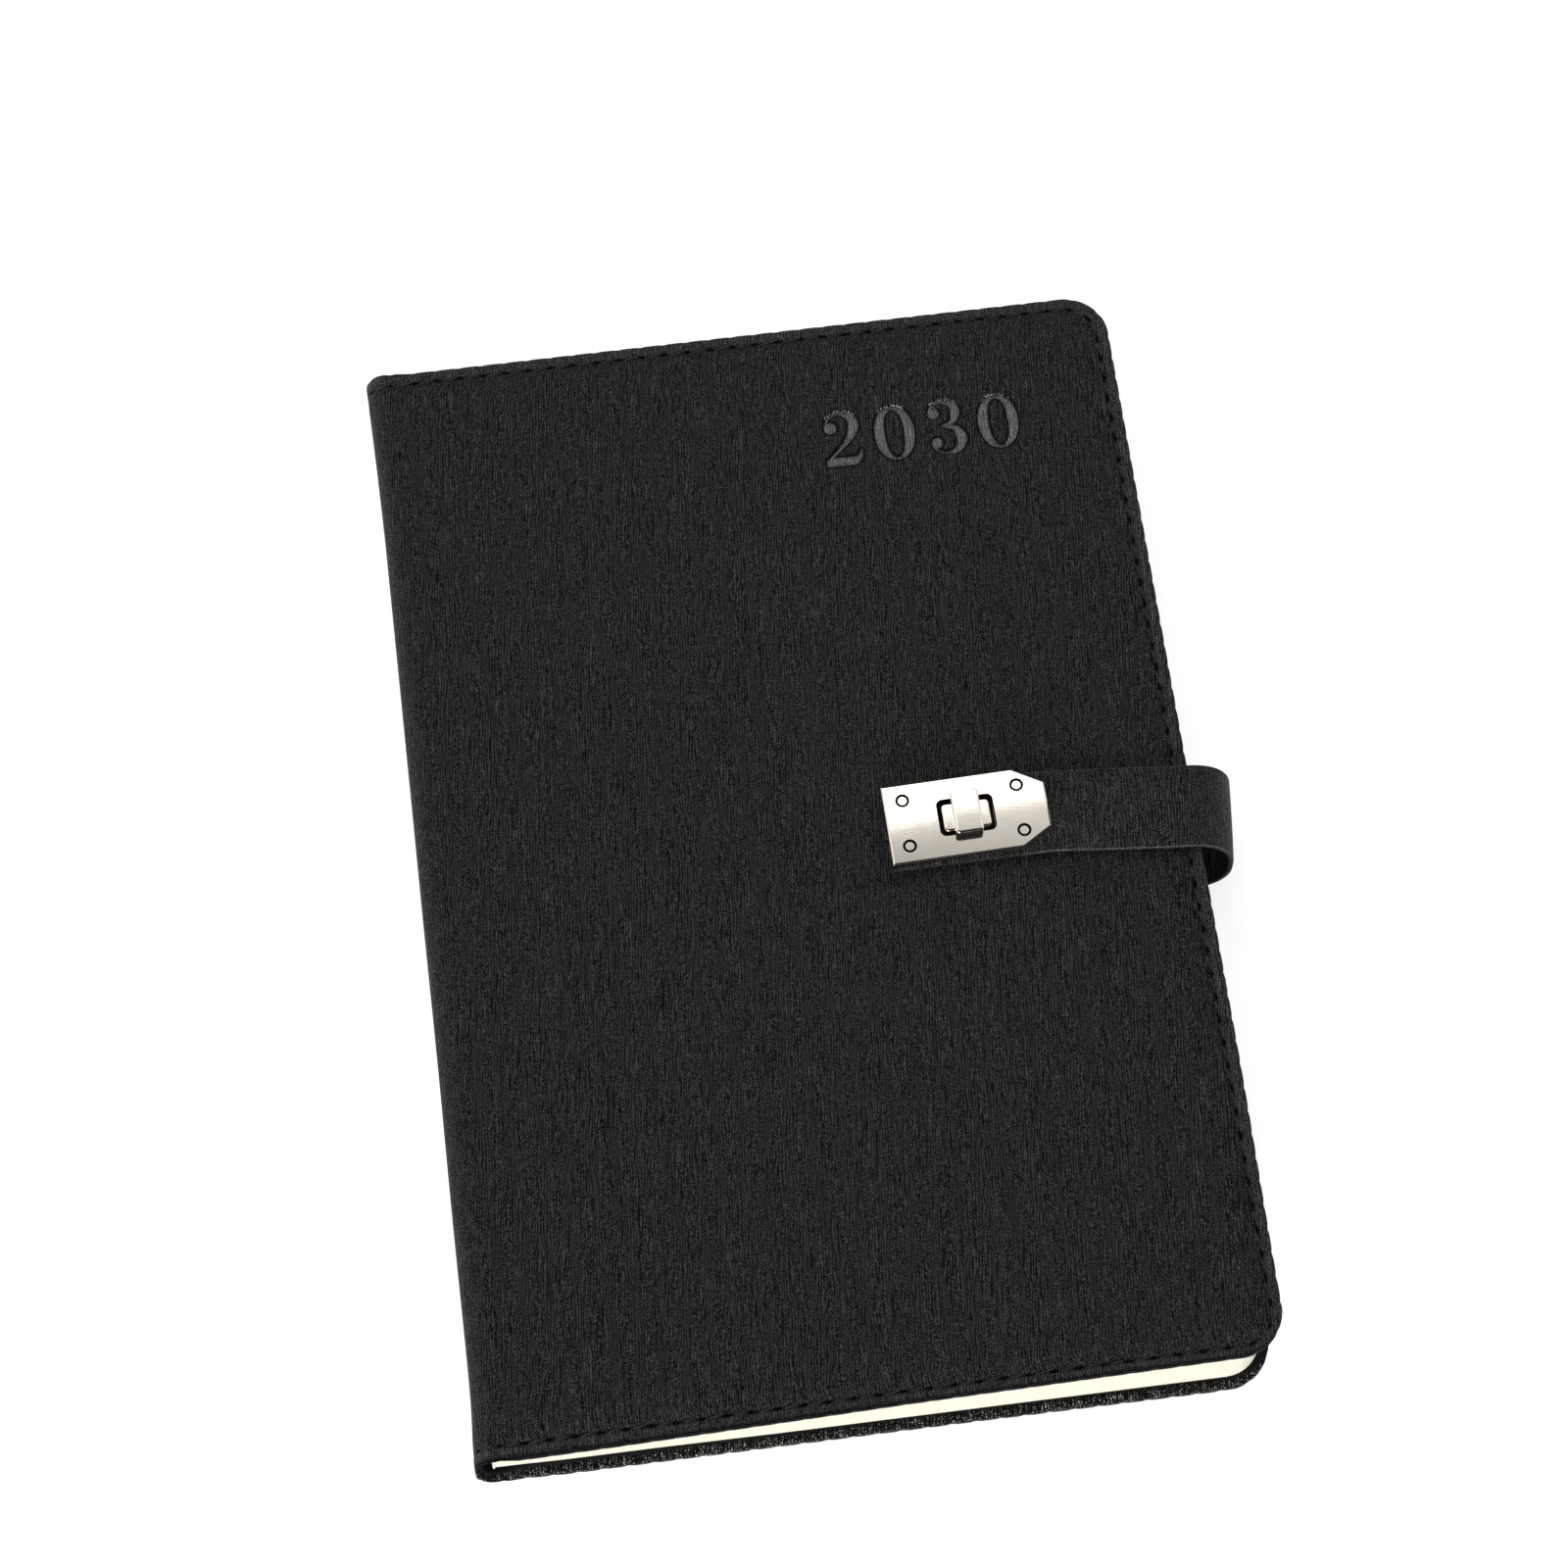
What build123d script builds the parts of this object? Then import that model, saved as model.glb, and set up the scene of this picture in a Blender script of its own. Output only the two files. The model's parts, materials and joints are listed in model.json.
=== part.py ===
from build123d import *
from math import cos, radians, sin, tan
import os

# Case, in millimetres
case_width = 143.0  # back of the spine to the fore edge
case_height = 213.0  # head to tail
spine_depth = 14.4  # over both covers at the spine
gape_angle = 1.9  # rise of the front cover towards the fore edge, in degrees
fold_radius = 5.0  # outside of the soft folds beside the spine
fold_split = 45.0  # degrees of each fold that stay with its cover
corner_radius = 8.5  # fore-edge corners of the covers

# Layers of a cover, from the inside out
lining_thickness = 0.5
board_thickness = 1.0
padding_thickness = 0.6
skin_thickness = 0.7
rim_width = 4.5  # stitched border, with no board in it
rim_drop = 0.4  # how far the border lies below the padded field
field_bevel = 0.35  # soft step from the field down to the border
board_setback = 2.0  # board to the start of the fold

# Leaves
leaf_square = 1.5  # covers stand past the leaves at head and tail
leaf_fore_square = 3.0  # and at the fore edge
leaf_corner_radius = 7.0
leaf_back_gap = 1.4  # inside of the spine to the back of the leaves
spine_cloth = 0.4
flyleaf_thickness = 0.3
signatures_per_half = 4
leaf_clearance = 0.1
section_back_radius = 0.3  # round back of a folded section

# Strap
strap_width = 16.0
strap_thickness = 1.0
strap_lift = 0.7  # underside above the front cover's field
strap_drift = 3.0  # the loop stands this much nearer the tail than the lock
strap_bulge = 7.6  # reach past the fore edge
loop_radius = 6.6  # middle of the strap in its lower bend
shoulder_radius = 9.8  # middle of the strap in its upper bend
tail_length = 12.0  # sewn between skin and lining of the back cover
half_bend = 45.0  # degrees of each bend on either side of its hinge line

# Lock, from its own centre
lock_place = 100.6  # back of the spine to the middle of the slot
lock_drop = 0.35  # slot's middle below the middle of the cover
lock_turn = 1.1  # the lock's length from square to the spine, in degrees
plate_back = 14.7  # slot's middle to the plate's square end
plate_front = 15.1  # slot's middle to the plate's bevelled end
plate_width = 15.5
plate_thickness = 2.2
plate_bevel_length = 5.6
plate_bevel_width = 3.3
plate_edge = 0.3
slot_length = 10.5
slot_width = 7.25
slot_corner = 1.2
strap_slot_margin = 0.5
strap_end = 0.9  # leather past the plate's square end
backplate_inset = 0.6
backplate_thickness = 0.5
rivet_back = 11.2  # slot's middle to the rivets at the square end
rivet_front = 10.0
rivet_rise = 4.5
rivet_diameter = 1.75
rivet_ring = 2.6
rivet_ring_depth = 0.35
rivet_recess = 0.1

# Turning bar and its boss
boss_length = 8.9
boss_width = 5.4
boss_corner = 0.8
boss_height = 3.9
boss_edge = 0.4
bar_length = 8.5
bar_width = 5.2
bar_thickness = 2.0
bar_corner = 0.7
bar_edge = 0.45
bar_gap = 0.3  # bar above the boss
post_diameter = 2.4
post_clearance = 0.05
post_hole = 3.2  # hole in the layers of the cover
prong_reach = 3.0
prong_width = 2.0
prong_thickness = 0.7
prong_foot = 1.3
washer_length = 12.0
washer_width = 8.0
washer_thickness = 0.4
washer_window = 0.2  # clearance of the washer in the board
clip_diameter = 4.0
clip_thickness = 0.4
clip_gap = 0.1

# Levels and places that follow
cover_thickness = lining_thickness + board_thickness + padding_thickness + skin_thickness
board_top = lining_thickness + board_thickness
padding_top = board_top + padding_thickness
rim_top = cover_thickness - rim_drop
fold_offset = fold_radius * (1 - sin(radians(fold_split)))
fold_rise = fold_radius * (1 - cos(radians(fold_split)))
front_floor = spine_depth - cover_thickness
front_hinge = (fold_offset, spine_depth - fold_rise)
back_hinge = (fold_offset, fold_rise)
leaf_axis = skin_thickness + lining_thickness + leaf_back_gap
leaf_back = leaf_axis + spine_cloth
leaf_front = case_width - leaf_fore_square
lock_middle = -lock_drop
plate_floor = strap_lift + strap_thickness
bar_floor = boss_height + bar_gap
strap_reach = case_width + strap_bulge
strap_line = strap_reach - strap_thickness / 2
middle_shift = strap_reach / 2


def extrude_along_height(face, height):
    return extrude(Plane.XZ * face, amount=height / 2, both=True)


def raised(face, floor, thickness):
    return extrude(Pos(0, 0, floor) * face, amount=thickness)


def closed_face(*edges):
    return make_face(Curve() + list(edges))


def round_ended_sheet(near, far, height, radius):
    sheet = Pos((near + far) / 2, 0) * Rectangle(far - near, height)
    return fillet(sheet.vertices().sort_by(Axis.X)[-2:], radius)


def cover_outline(near, inset):
    return round_ended_sheet(near, case_width - inset, case_height - 2 * inset, corner_radius - inset)


def arc_band(centre, outer, inner, start, sweep):
    # Part of a ring between two radii
    outside = CenterArc(centre, outer, start, sweep)
    inside = CenterArc(centre, inner, start, sweep)
    return closed_face(outside, Line(outside @ 1, inside @ 1), inside, Line(inside @ 0, outside @ 0))


def front_turn(shape):
    # Turns a flat front cover up about its hinge line by the gape
    pivot = Pos(front_hinge[0], 0, front_hinge[1])
    return pivot * Rot(0, -gape_angle, 0) * pivot.inverse() * shape


def on_front(shape):
    return front_turn(Pos(0, 0, front_floor) * shape)


def on_back(shape):
    return Pos(0, 0, cover_thickness) * mirror(shape, about=Plane.XY)


def at_lock(shape):
    return Pos(lock_place, lock_middle, cover_thickness) * Rot(0, 0, lock_turn) * shape


# Cover layers, lying flat with the inside at zero and the outside up
def flat_skin():
    border = raised(cover_outline(fold_radius, 0), lining_thickness, rim_top - lining_thickness)
    field = raised(cover_outline(fold_radius, rim_width - skin_thickness), rim_top, rim_drop)
    top_edges = field.faces().sort_by(Axis.Z)[-1].edges()
    field = chamfer(top_edges.sort_by(Axis.X)[1:], field_bevel)
    pocket = raised(cover_outline(fold_radius + board_setback, rim_width), lining_thickness,
                    board_thickness + padding_thickness)
    fold_centre = (fold_radius, cover_thickness - fold_radius)
    fold = arc_band(fold_centre, fold_radius, fold_radius - skin_thickness, 90, fold_split)
    return border + field + extrude_along_height(fold, case_height) - pocket


def flat_padding():
    return raised(cover_outline(fold_radius + board_setback, rim_width), board_top, padding_thickness)


def flat_board():
    return raised(cover_outline(fold_radius + board_setback, rim_width), lining_thickness, board_thickness)


def flat_lining():
    return raised(cover_outline(fold_radius, 0), 0, lining_thickness)


# Spine, between the two hinge lines
def spine_line(radius):
    lower = CenterArc((fold_radius, fold_radius), radius, 270 - fold_split, fold_split - 90)
    upper = CenterArc((fold_radius, spine_depth - fold_radius), radius, 180, fold_split - 90)
    return lower, Line(lower @ 1, upper @ 0), upper


def spine_layer(outer, inner):
    outside = spine_line(outer)
    inside = spine_line(inner)
    head = Line(outside[-1] @ 1, inside[-1] @ 1)
    foot = Line(inside[0] @ 0, outside[0] @ 0)
    return extrude_along_height(closed_face(*outside, head, *inside, foot), case_height)


# Leaves, a wedge that opens towards the fore edge
def front_cover_inside(x):
    slope = radians(gape_angle)
    hinge_x, hinge_z = front_hinge
    return hinge_z - (hinge_z - front_floor) / cos(slope) + (x - hinge_x) * tan(slope)


leaf_height = case_height - 2 * leaf_square
back_depth = front_cover_inside(leaf_back) - cover_thickness - 2 * leaf_clearance
fore_depth = front_cover_inside(leaf_front) - cover_thickness - 2 * leaf_clearance
leaf_middle = cover_thickness + back_depth / 2 + leaf_clearance / 2


def leaf_level(share, lift, fore):
    return cover_thickness + lift + share * (fore_depth if fore else back_depth)


def leaf_wedge(low, high, lift):
    corners = [
        (leaf_back, leaf_level(low, lift, False)),
        (leaf_front, leaf_level(low, lift, True)),
        (leaf_front, leaf_level(high, lift, True)),
        (leaf_back, leaf_level(high, lift, False)),
    ]
    slab = extrude_along_height(make_face(Polyline(*corners, close=True)), leaf_height)
    plan = round_ended_sheet(leaf_back, leaf_front, leaf_height, leaf_corner_radius)
    return slab & extrude(plan, amount=spine_depth * 2)


def folded_section(low, high, lift):
    section = leaf_wedge(low, high, lift)
    backs = section.edges().filter_by(Axis.Y).sort_by(Axis.X)[:2]
    return fillet(backs, section_back_radius)


def back_cloth(low, high, lift):
    floor = leaf_level(low, lift, False)
    height = leaf_level(high, lift, False) - floor
    return Pos(leaf_back - spine_cloth / 2, 0, floor + height / 2) * Box(spine_cloth, leaf_height, height)


# Strap, in the plane across the book
gape = radians(gape_angle)
tail_level = cover_thickness - lining_thickness - strap_thickness / 2
lower_centre = (strap_line - loop_radius, tail_level + loop_radius)
rise_above_hinge = fold_rise + strap_lift + strap_thickness / 2
tongue_line_offset = -front_hinge[0] * sin(gape) + front_hinge[1] * cos(gape) + rise_above_hinge
shoulder_x = strap_line - shoulder_radius
upper_centre = (shoulder_x, (tongue_line_offset + shoulder_x * sin(gape) - shoulder_radius) / cos(gape))
half_strap = strap_thickness / 2
loop_middle = lock_middle - strap_drift


def strap_band(face):
    return Pos(0, loop_middle, 0) * extrude_along_height(face, strap_width)


def lower_bend(start, sweep):
    return strap_band(arc_band(lower_centre, loop_radius + half_strap, loop_radius - half_strap, start, sweep))


def upper_bend(start, sweep):
    return strap_band(arc_band(upper_centre, shoulder_radius + half_strap, shoulder_radius - half_strap, start, sweep))


def tail_slab(width):
    length = lower_centre[0] - (case_width - tail_length)
    middle = Pos(lower_centre[0] - length / 2, loop_middle, tail_level)
    return middle * Box(length, width, strap_thickness)


def loop_rise():
    height = upper_centre[1] - lower_centre[1]
    return Pos(strap_line, loop_middle, lower_centre[1] + height / 2) * Box(strap_thickness, strap_width, height)


def beside_lock(along, across):
    turn = radians(lock_turn)
    return lock_place + along * cos(turn) - across * sin(turn), lock_middle + along * sin(turn) + across * cos(turn)


# The tongue lies on the turned cover: its bend ends where the upper bend reaches the cover's slope
def flat_tongue():
    bend_end = case_width_on_cover()
    lock_end = -plate_back - strap_end
    half = strap_width / 2
    outline = Polyline(
        beside_lock(lock_end, -half), beside_lock(plate_front, -half),
        (bend_end, loop_middle - half), (bend_end, loop_middle + half),
        beside_lock(plate_front, half), beside_lock(lock_end, half), close=True)
    return raised(make_face(outline), cover_thickness + strap_lift, strap_thickness)


def case_width_on_cover():
    # Distance along the flat cover at which the upper bend begins
    bend_x = upper_centre[0] - shoulder_radius * sin(gape)
    bend_z = upper_centre[1] + shoulder_radius * cos(gape)
    from_hinge = (bend_x - front_hinge[0]) * cos(gape) + (bend_z - front_hinge[1]) * sin(gape)
    return front_hinge[0] + from_hinge


# Lock furniture, from the slot's middle and the top of the cover
def rounded_slot(length, width):
    return RectangleRounded(length, width, slot_corner)


def plate_outline(inset):
    half = plate_width / 2 - inset
    back = inset - plate_back
    front = plate_front - inset
    outline = Polyline(
        (back, -half), (front - plate_bevel_length, -half), (front, plate_bevel_width - half),
        (front, half - plate_bevel_width), (front - plate_bevel_length, half), (back, half), close=True)
    return make_face(outline)


rivet_spots = [(x, y) for x in (-rivet_back, rivet_front) for y in (-rivet_rise, rivet_rise)]


def rivet_holes(diameter, floor, height):
    return [Pos(x, y, floor + height / 2) * Cylinder(diameter / 2, height) for x, y in rivet_spots]


def lock_plate():
    plate = raised(plate_outline(0), plate_floor, plate_thickness)
    plate = chamfer(plate.faces().sort_by(Axis.Z)[-1].edges(), plate_edge)
    plate -= raised(rounded_slot(slot_length, slot_width), plate_floor, plate_thickness)
    plate -= rivet_holes(rivet_diameter, plate_floor, plate_thickness)
    ring_floor = plate_floor + plate_thickness - rivet_ring_depth
    return plate - rivet_holes(rivet_ring, ring_floor, rivet_ring_depth)


def lock_backplate():
    floor = strap_lift - backplate_thickness
    plate = raised(plate_outline(backplate_inset), floor, backplate_thickness)
    plate -= raised(rounded_slot(slot_length, slot_width), floor, backplate_thickness)
    return plate - rivet_holes(rivet_diameter, floor, backplate_thickness)


def lock_rivets():
    floor = strap_lift - backplate_thickness
    height = plate_floor + plate_thickness - rivet_recess - floor
    return Compound(rivet_holes(rivet_diameter, floor, height))


def strap_cuts():
    margin = 2 * strap_slot_margin
    slot = raised(rounded_slot(slot_length + margin, slot_width + margin), strap_lift, strap_thickness)
    return [slot] + rivet_holes(rivet_diameter, strap_lift, strap_thickness)


washer_top = board_top - cover_thickness
washer_floor = washer_top - washer_thickness


def prong_pair(clearance):
    length = -washer_floor
    leg = Box(prong_thickness + clearance, prong_width + clearance, length)
    return [Pos(side * prong_reach, 0, washer_floor + length / 2) * leg for side in (-1, 1)]


def knob_base():
    boss = extrude(RectangleRounded(boss_length, boss_width, boss_corner), amount=boss_height)
    boss = fillet(boss.faces().sort_by(Axis.Z)[-1].edges(), boss_edge)
    boss -= Pos(0, 0, boss_height / 2) * Cylinder(post_diameter / 2 + post_clearance, boss_height)
    foot_middle = prong_reach + (prong_foot - prong_thickness) / 2
    foot = Box(prong_foot, prong_width, prong_thickness / 2)
    feet = [Pos(side * foot_middle, 0, washer_floor - prong_thickness / 4) * foot for side in (-1, 1)]
    return boss + prong_pair(0) + feet


def knob_washer():
    plate = Box(washer_length, washer_width, washer_thickness)
    washer = Pos(0, 0, washer_floor + washer_thickness / 2) * plate
    washer -= Pos(0, 0, washer_floor) * Cylinder(post_diameter / 2 + post_clearance, 2 * washer_thickness)
    return washer - prong_pair(0)


def cover_holes():
    post = Pos(0, 0, -cover_thickness / 2) * Cylinder(post_hole / 2, cover_thickness)
    return [post] + prong_pair(0)


def board_window():
    length = washer_length + 2 * washer_window
    width = washer_width + 2 * washer_window
    middle = (washer_top + lining_thickness - cover_thickness) / 2
    return Pos(0, 0, middle) * Box(length, width, board_thickness)


clip_top = washer_floor - clip_gap
clip_floor = clip_top - clip_thickness


def knob_bar():
    bar = extrude(Pos(0, 0, bar_floor) * RectangleRounded(bar_width, bar_length, bar_corner), amount=bar_thickness)
    bar = fillet(bar.faces().sort_by(Axis.Z)[-1].edges(), bar_edge)
    height = bar_floor - clip_floor
    return bar + Pos(0, 0, clip_floor + height / 2) * Cylinder(post_diameter / 2, height)


def knob_clip():
    ring = Cylinder(clip_diameter / 2, clip_thickness) - Cylinder(post_diameter / 2, clip_thickness)
    return Pos(0, 0, clip_floor + clip_thickness / 2) * ring


# Assembly
tail_cut = tail_slab(strap_width)
lock_holes = [at_lock(hole) for hole in cover_holes()]

pieces = {
    "back_skin": on_back(flat_skin()) - tail_cut,
    "back_padding": on_back(flat_padding()) - tail_cut,
    "back_board": on_back(flat_board()) - tail_cut,
    "back_lining": on_back(flat_lining()),
    "strap_tail": tail_cut + lower_bend(-90, half_bend),
    "spine_skin": spine_layer(fold_radius, fold_radius - skin_thickness),
    "spine_lining": spine_layer(fold_radius - skin_thickness, fold_radius - skin_thickness - lining_thickness),
    "front_skin": on_front(flat_skin() - lock_holes),
    "front_padding": on_front(flat_padding() - lock_holes),
    "front_board": on_front(flat_board() - at_lock(board_window())),
    "front_lining": on_front(flat_lining()),
    "knob_base": on_front(at_lock(knob_base())),
    "knob_washer": on_front(at_lock(knob_washer())),
    "knob_bar": on_front(at_lock(knob_bar())),
    "knob_clip": on_front(at_lock(knob_clip())),
    "strap_loop": lower_bend(half_bend - 90, 90 - half_bend) + loop_rise() + upper_bend(0, half_bend),
    "strap_tongue": (on_front(flat_tongue() - [at_lock(cut) for cut in strap_cuts()])
                     + upper_bend(half_bend, 90 + gape_angle - half_bend)),
    "lock_plate": on_front(at_lock(lock_plate())),
    "lock_backplate": on_front(at_lock(lock_backplate())),
    "lock_rivets": on_front(at_lock(lock_rivets())),
}

# Rear half of the leaves lies on the back cover, front half turns with the front cover
fly_share = flyleaf_thickness / back_depth
section_share = (0.5 - fly_share) / signatures_per_half
pieces["rear_flyleaf"] = leaf_wedge(0, fly_share, 0)
pieces["rear_spine_cloth"] = back_cloth(0, 0.5, 0)
pieces["front_flyleaf"] = leaf_wedge(1 - fly_share, 1, leaf_clearance)
pieces["front_spine_cloth"] = back_cloth(0.5, 1, leaf_clearance)
for number in range(signatures_per_half):
    low = fly_share + number * section_share
    pieces[f"rear_signature_{number + 1}"] = folded_section(low, low + section_share, 0)
    high = 1 - low
    pieces[f"front_signature_{number + 1}"] = folded_section(high - section_share, high, leaf_clearance)

os.makedirs("parts", exist_ok=True)
for name, shape in pieces.items():
    export_step(Pos(-middle_shift, 0, 0) * shape, f"parts/{name}.step")


def outside_of_bend(centre, radius, angle):
    reach = radius + half_strap
    return centre[0] + reach * cos(radians(angle)), centre[1] + reach * sin(radians(angle))


loop_hinge = outside_of_bend(lower_centre, loop_radius, half_bend - 90)
tongue_hinge = outside_of_bend(upper_centre, shoulder_radius, half_bend)
hinges = {"back fold": back_hinge, "front fold": front_hinge, "leaves": (leaf_axis, leaf_middle),
          "strap loop": loop_hinge, "strap tongue": tongue_hinge}
for name, (x, z) in hinges.items():
    print(f"{name} hinge at x {x - middle_shift:.4f}, z {z:.4f}")
knob_foot = on_front(at_lock(Vertex(0, 0, 0))).center() - Vector(middle_shift, 0, 0)
print("knob axis through", [round(v, 4) for v in knob_foot])
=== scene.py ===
import json
import math

import bpy
import numpy as np
from mathutils import Matrix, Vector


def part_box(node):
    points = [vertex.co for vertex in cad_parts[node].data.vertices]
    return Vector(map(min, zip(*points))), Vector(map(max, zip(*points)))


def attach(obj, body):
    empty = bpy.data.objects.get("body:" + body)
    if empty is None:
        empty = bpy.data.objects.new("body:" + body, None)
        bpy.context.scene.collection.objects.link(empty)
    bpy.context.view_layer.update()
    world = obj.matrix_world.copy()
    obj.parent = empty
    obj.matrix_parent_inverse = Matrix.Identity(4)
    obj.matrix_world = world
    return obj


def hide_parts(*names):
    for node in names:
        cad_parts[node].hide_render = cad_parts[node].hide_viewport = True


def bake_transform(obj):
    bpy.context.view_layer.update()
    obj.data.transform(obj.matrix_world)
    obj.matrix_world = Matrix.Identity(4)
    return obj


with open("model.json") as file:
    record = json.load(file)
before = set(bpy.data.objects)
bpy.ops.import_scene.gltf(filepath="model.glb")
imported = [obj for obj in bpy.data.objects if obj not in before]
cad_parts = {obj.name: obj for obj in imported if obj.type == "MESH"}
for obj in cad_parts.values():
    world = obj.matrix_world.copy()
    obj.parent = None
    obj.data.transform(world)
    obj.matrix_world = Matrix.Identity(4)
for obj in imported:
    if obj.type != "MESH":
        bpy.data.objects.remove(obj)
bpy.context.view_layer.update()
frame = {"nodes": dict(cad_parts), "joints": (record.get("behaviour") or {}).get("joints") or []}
mm = 0.001  # lengths below are millimetres in the shared frame
joints = {joint["name"]: joint for joint in frame["joints"]}


def boxMm(node):
    low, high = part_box(node)
    return np.array(low) / mm, np.array(high) / mm


def hingeMm(name):
    return np.array(joints[name]["pos_m"]) / mm


def smoothStep(low, high, value):
    t = np.clip((value - low) / (high - low), 0, 1)
    return t * t * (3 - 2 * t)


# The case as the frame gives it: spine at the left, hinge lines at half of each fold
spineX = boxMm("spine_skin")[0][0]
foreX, halfHeight, _ = boxMm("back_skin")[1]
frontHinge = hingeMm("cover_open")
caseDepth = frontHinge[2] + hingeMm("spine_fold")[2]
lockAxis = joints["knob_turn"]["axis"]
lockPoint = hingeMm("knob_turn")
gape = math.atan2(-lockAxis[0], lockAxis[2])
foldRadius = (frontHinge[0] - spineX) / (1 - math.sin(math.pi / 4))
print("case: depth %.2f mm, fold %.2f mm, gape %.2f degrees" % (caseDepth, foldRadius, math.degrees(gape)))


# Meshes
def addObject(name, data):
    holder = bpy.data.objects.new(name, data)
    bpy.context.scene.collection.objects.link(holder)
    return holder


def quadsOf(index):
    # Four-sided faces between neighbouring rows and columns of an index grid
    corners = [index[:-1, :-1], index[1:, :-1], index[1:, 1:], index[:-1, 1:]]
    return np.stack(corners, -1).reshape(-1, 4).tolist()


def tubeFaces(index):
    # Four-sided faces round a tube, one closed ring to a row
    return quadsOf(np.concatenate([index, index[:, :1]], 1))


def endFaces(index):
    return [index[0, ::-1].tolist(), index[-1].tolist()]


def signedVolume(points, faces):
    # Sum of tetrahedra from the origin to each face's fan of triangles
    total = 0.0
    for size in sorted({len(face) for face in faces}):
        group = points[np.array([face for face in faces if len(face) == size])]
        first, middle, last = group[:, :1], group[:, 1:-1], group[:, 2:]
        total += np.einsum("ijk,ijk->", np.broadcast_to(first, middle.shape), np.cross(middle, last))
    return total


def makePiece(name, points, faces, material, flatFaces=()):
    # A closed mesh from points in millimetres, turned so that its faces point outwards
    points = np.asarray(points, float).reshape(-1, 3)
    every = [list(map(int, face)) for face in (*faces, *flatFaces)]
    if signedVolume(points - points.mean(0), every) < 0:
        every = [face[::-1] for face in every]
    mesh = bpy.data.meshes.new(name)
    mesh.from_pydata((points * mm).tolist(), [], every)
    mesh.polygons.foreach_set("use_smooth", np.arange(len(every)) < len(faces))
    mesh.materials.append(material)
    mesh.update()
    return addObject(name, mesh)


def pointValues(piece, name, values):
    # One number a point; points past the end of the list get 0
    every = np.zeros(len(piece.data.vertices), np.float32)
    every[:np.size(values)] = np.ravel(values)
    piece.data.attributes.new(name, "FLOAT", "POINT").data.foreach_set("value", every)


# Materials: each step below adds one node and gives back its output
def put(socket, value):
    # Another node's output, a colour or a constant on a socket
    if isinstance(value, bpy.types.NodeSocket):
        value.id_data.links.new(value, socket)
    elif socket.type == "RGBA":
        socket.default_value = (*value, 1)
    else:
        socket.default_value = value


def setInputs(node, values):
    for name, value in values.items():
        put(node.inputs[name], value)


def newMaterial(name):
    material = bpy.data.materials.new(name)
    material.use_nodes = True
    tree = material.node_tree
    return material, tree, tree.nodes["Principled BSDF"]


def mapped(vector, size, turn=0.0):
    # Coordinates turned about Z and scaled so that one unit is one feature of the pattern, in millimetres
    mapping = vector.id_data.nodes.new("ShaderNodeMapping")
    scale = tuple(1 / (part * mm) for part in size)
    setInputs(mapping, {"Vector": vector, "Scale": scale, "Rotation": (0, 0, turn)})
    return mapping.outputs["Vector"]


def objectPoints(tree):
    return tree.nodes.new("ShaderNodeTexCoord").outputs["Object"]


def noiseOf(vector, detail=2.0, roughness=0.5, output="Fac"):
    noise = vector.id_data.nodes.new("ShaderNodeTexNoise")
    setInputs(noise, {"Vector": vector, "Scale": 1.0, "Detail": detail, "Roughness": roughness})
    return noise.outputs[output]


def ramp(value, low, high, lowOut=0.0, highOut=1.0):
    # Straight-line remap of a value, held at both ends
    remap = value.id_data.nodes.new("ShaderNodeMapRange")
    setInputs(remap, {"Value": value, "From Min": low, "From Max": high, "To Min": lowOut, "To Max": highOut})
    return remap.outputs["Result"]


def math2(operation, first, second=0.0):
    node = first.id_data.nodes.new("ShaderNodeMath")
    node.operation = operation
    put(node.inputs[0], first)
    put(node.inputs[1], second)
    return node.outputs["Value"]


def plus(first, second):
    return math2("ADD", first, second)


def times(first, second):
    return math2("MULTIPLY", first, second)


def axesOf(vector):
    split = vector.id_data.nodes.new("ShaderNodeSeparateXYZ")
    put(split.inputs["Vector"], vector)
    return split.outputs


def mixColor(factor, first, second):
    mix = factor.id_data.nodes.new("ShaderNodeMix")
    mix.data_type = "RGBA"
    setInputs(mix, {"Factor": factor, "A": first, "B": second})
    return mix.outputs["Result"]


def bumpFrom(height, strength, depth):
    bump = height.id_data.nodes.new("ShaderNodeBump")
    setInputs(bump, {"Height": height, "Strength": strength, "Distance": depth * mm})
    return bump.outputs["Normal"]


def attributeOf(tree, name):
    node = tree.nodes.new("ShaderNodeAttribute")
    node.attribute_name = name
    return node.outputs["Fac"]


# Sizes of the patterns are in millimetres. Four numbers are a remap: two values and what they become.
# A share is the two outputs alone, and a span or the tone is the two values that become 0 and 1.
grain = {
    "turn": 0.1, "sway": (12.0, 26.0, 12.0), "swayReach": 1.0,
    "period": 0.56, "warp": (0.8, 4.0, 0.8), "warpTurns": 2.2, "ridgeShare": (0.35, 0.9),
    "speck": (0.15, 0.2, 0.15), "speckHeight": (0.2, 0.8, -1.5, 2.1),
    "patch": (4.0, 9.0, 4.0), "patchSpan": (0.36, 0.64), "line": (0.9, 9.0, 0.9),
    "groove": {"level": 0.5, "reach": 0.035, "height": 0.6}, "grooveShare": (0.25, 1.0),
    "streak": {"level": 0.6, "reach": 0.025, "height": 0.9}, "streakShare": (1.0, 0.3),
    "dark": (0.001, 0.001, 0.001), "light": (0.09, 0.09, 0.0873), "tone": (-0.5, 2.1), "toneCurve": 1.5,
    # The crease colour is painted shade, along the figures' outlines and on the rims
    "markTone": (0.0, 1.0, 0.2, 1.0), "paintedShade": (0.002, 0.002, 0.002), "paintedShadeGloss": 0.06,
    # The pale colour and the lip numbers make a painted glint where a lip stands highest
    "worn": (0.75, 0.75, 0.73), "lipSpan": (0.0, 0.1), "lipLift": 1.3, "glintSpan": (1.75, 2.15),
    "dull": (0.1, 0.9, 0.62, 0.42), "gloss": (0.0, 0.9, 0.4, 1.15), "specular": 0.12,
    "bump": 0.5, "depth": 0.08,
}


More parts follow.
